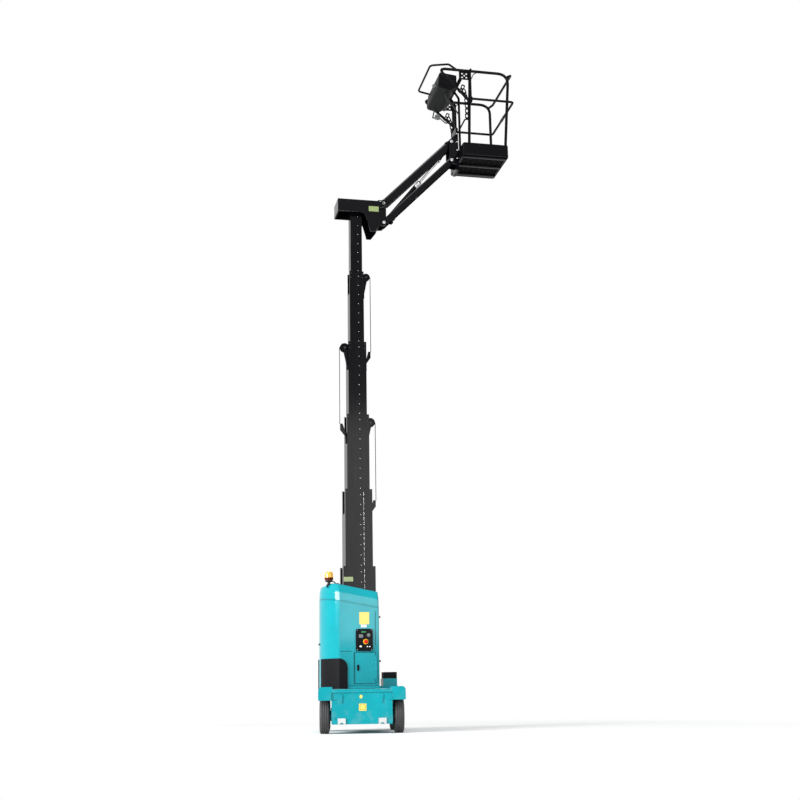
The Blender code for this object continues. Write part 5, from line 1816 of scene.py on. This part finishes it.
    def cable_guide(self) -> None:
        """The slotted cable strips beside the inner posts, the junction box and the pipes of the console."""
        guide = Mould()
        spots = [
            (1.352, 8.318, 40.0), (1.384, 8.372, 70.0), (1.402, 8.318, 118.0), (1.421, 8.254, 106.0),
            (1.434, 8.186, 98.0), (1.441, 8.116, 94.0), (1.444, 8.046, 91.0), (1.444, 7.976, 90.0)]
        for s in (-1, 1):
            for x, z, lean in spots:
                along = (math.cos(math.radians(lean)), 0, math.sin(math.radians(lean)))
                centre = (x, s * (self.slant(z) - 0.004), z)
                guide.holed(
                    (0.0362, 0.0265), (0.02, 0.0125), 0.0035,
                    facing(centre, along, (-along[2], 0, along[0])))
        self.put("cable_guides", guide, "rail_coat")
        box = Mould().block((1.205, 0.405, 8.305), (1.275, 0.452, 8.368), 0.006)
        box.lathe([(0.009, 0), (0.009, 0.01), (0.006, 0.012)], (1.24, 0.428, 8.305), (0, 0, -1), 16)
        self.put("junction_box", box, "grey_plastic")
        pipe = Mould()
        pipe.pipe(
            [(1.15, 0.26, 8.378), (1.15, 0.26, 8.33), (1.17, 0.43, 8.318), (1.206, 0.43, 8.325)], 0.009, 14,
            0.03)
        pipe.pipe([(1.274, 0.43, 8.325), (1.34, 0.42, 8.26), (1.372, 0.404, 8.24)], 0.008, 14, 0.03)
        pipe.pipe(
            [(1.2, -0.21, 8.365), (1.2, -0.21, 8.3), (1.33, -0.14, 8.215), (1.402, -0.112, 8.12)], 0.009,
            14, 0.05)
        self.put("console_conduits", pipe, "hose_rubber")
        knob = Mould().lathe(
            [(0.007, 0), (0.007, 0.022), (0.018, 0.026), (0.021, 0.034), (0.021, 0.052), (0.016, 0.058),
            (0.006, 0.06)], (1.067, -0.235, 8.45), (-1, 0, 0.1), 24)
        self.put("console_socket", knob, "grey_plastic")

    def bracket(self) -> None:
        """Pin caps and screws of the upright bracket."""
        x = Jib.pivot[0] + Jib.length * math.cos(Jib.angle)
        z = Jib.pivot[1] + Jib.length * math.sin(Jib.angle)
        caps = Mould()
        pin_caps(caps, x, z, 0.1032)
        pin_caps(caps, x, z - Jib.drop, 0.1032)
        self.put("bracket_pin_caps", caps, "zinc")
        for label, s in SIDES:
            self.row(
                f"bracket_screws_{label}", hexagon(Mould(), 0.015, 0.007), "zinc", 4,
                (1.371, s * 0.1051, 7.48), (0, 0, 0.12), outward(s))

    def build(self) -> None:
        """Makes every piece of the platform."""
        self.deck()
        self.rails()
        self.entry_bar()
        self.console()
        self.cable_guide()
        self.bracket()


# Carried-over solids.


@dataclass(frozen=True)
class Dressing:
    """Gives each CAD node its finish."""

    finishes: dict[str, tuple[str, ...]] = field(default_factory=lambda: {
        "teal_paint": ("chassis_frame", "chassis_deck", "turntable_deck", "side_door_near", "side_door_far",
                       "rest_pedestal"),
        "hood_paint": ("hood_shell", "hood_cap"),
        "hub_paint": tuple(f"hub_{name}" for name in WHEELS),
        "tyre_rubber": tuple(f"tyre_{name}" for name in WHEELS),
        "jib_paint": ("mast_head", "jib_upper", "jib_lower", "platform_bracket", "jib_cylinder_barrel"),
        "rail_coat": ("guardrail", "entry_bar", "platform_floor", "chain_pulley_2", "chain_pulley_3",
                      "chain_pulley_4"),
        "mast_coat": tuple(f"mast_section_{k}" for k in range(6)),
        "console_plastic": ("platform_console",),
        "panel_plastic": ("ground_control_panel",),
        "black_plastic": ("corner_moulding_near", "corner_moulding_far", "rest_pad", "beacon_base"),
        "amber_lens": ("beacon_lens",),
        "chrome": ("jib_cylinder_rod",),
        "zinc": ("tie_plate_left", "tie_plate_right"),
        "chain_steel": ("lift_chain_2", "lift_chain_3", "lift_chain_4"),
        "steel": ("slew_ring",),
        "cast_iron": ("steer_knuckle_left", "steer_knuckle_right", "counterweight", "battery_block_near",
                      "battery_block_far"),
    })

    def dress(self, nodes: dict[str, bpy.types.Object], coats: Coats) -> None:
        """Puts the finishes on the nodes.

        Args:
            nodes: The CAD nodes by name.
            coats: The finishes.
        """
        given = {name: finish for finish, names in self.finishes.items() for name in names}
        for name, node in nodes.items():
            node.data.materials.clear()
            node.data.materials.append(coats[given.get(name, "black_plastic")])
            if name not in given:
                LOG.warning("%s has no finish of its own", name)


def main() -> None:
    """Builds the lift's looks, in order."""
    logging.basicConfig(level=logging.INFO, format="%(message)s")
    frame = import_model()
    low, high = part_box("slew_ring")
    axis = Vector(((low[0] + high[0]) / 2, (low[1] + high[1]) / 2, 0.0))
    Studio(axis).build()
    coats = Coats()
    Dressing().dress(frame["nodes"], coats)
    bench = Bench(axis, coats)
    parts: list[Fittings] = [Chassis(bench)]
    parts += [Wheel(bench, name, side, y) for name, (side, y) in WHEELS.items()]
    parts += [Hood(bench), Mast(bench), Head(bench), Jib(bench), Platform(bench)]
    for part in parts:
        part.build()
    LOG.info("%d pieces made", len(bench.made))


if __name__ == "__main__":
    main()
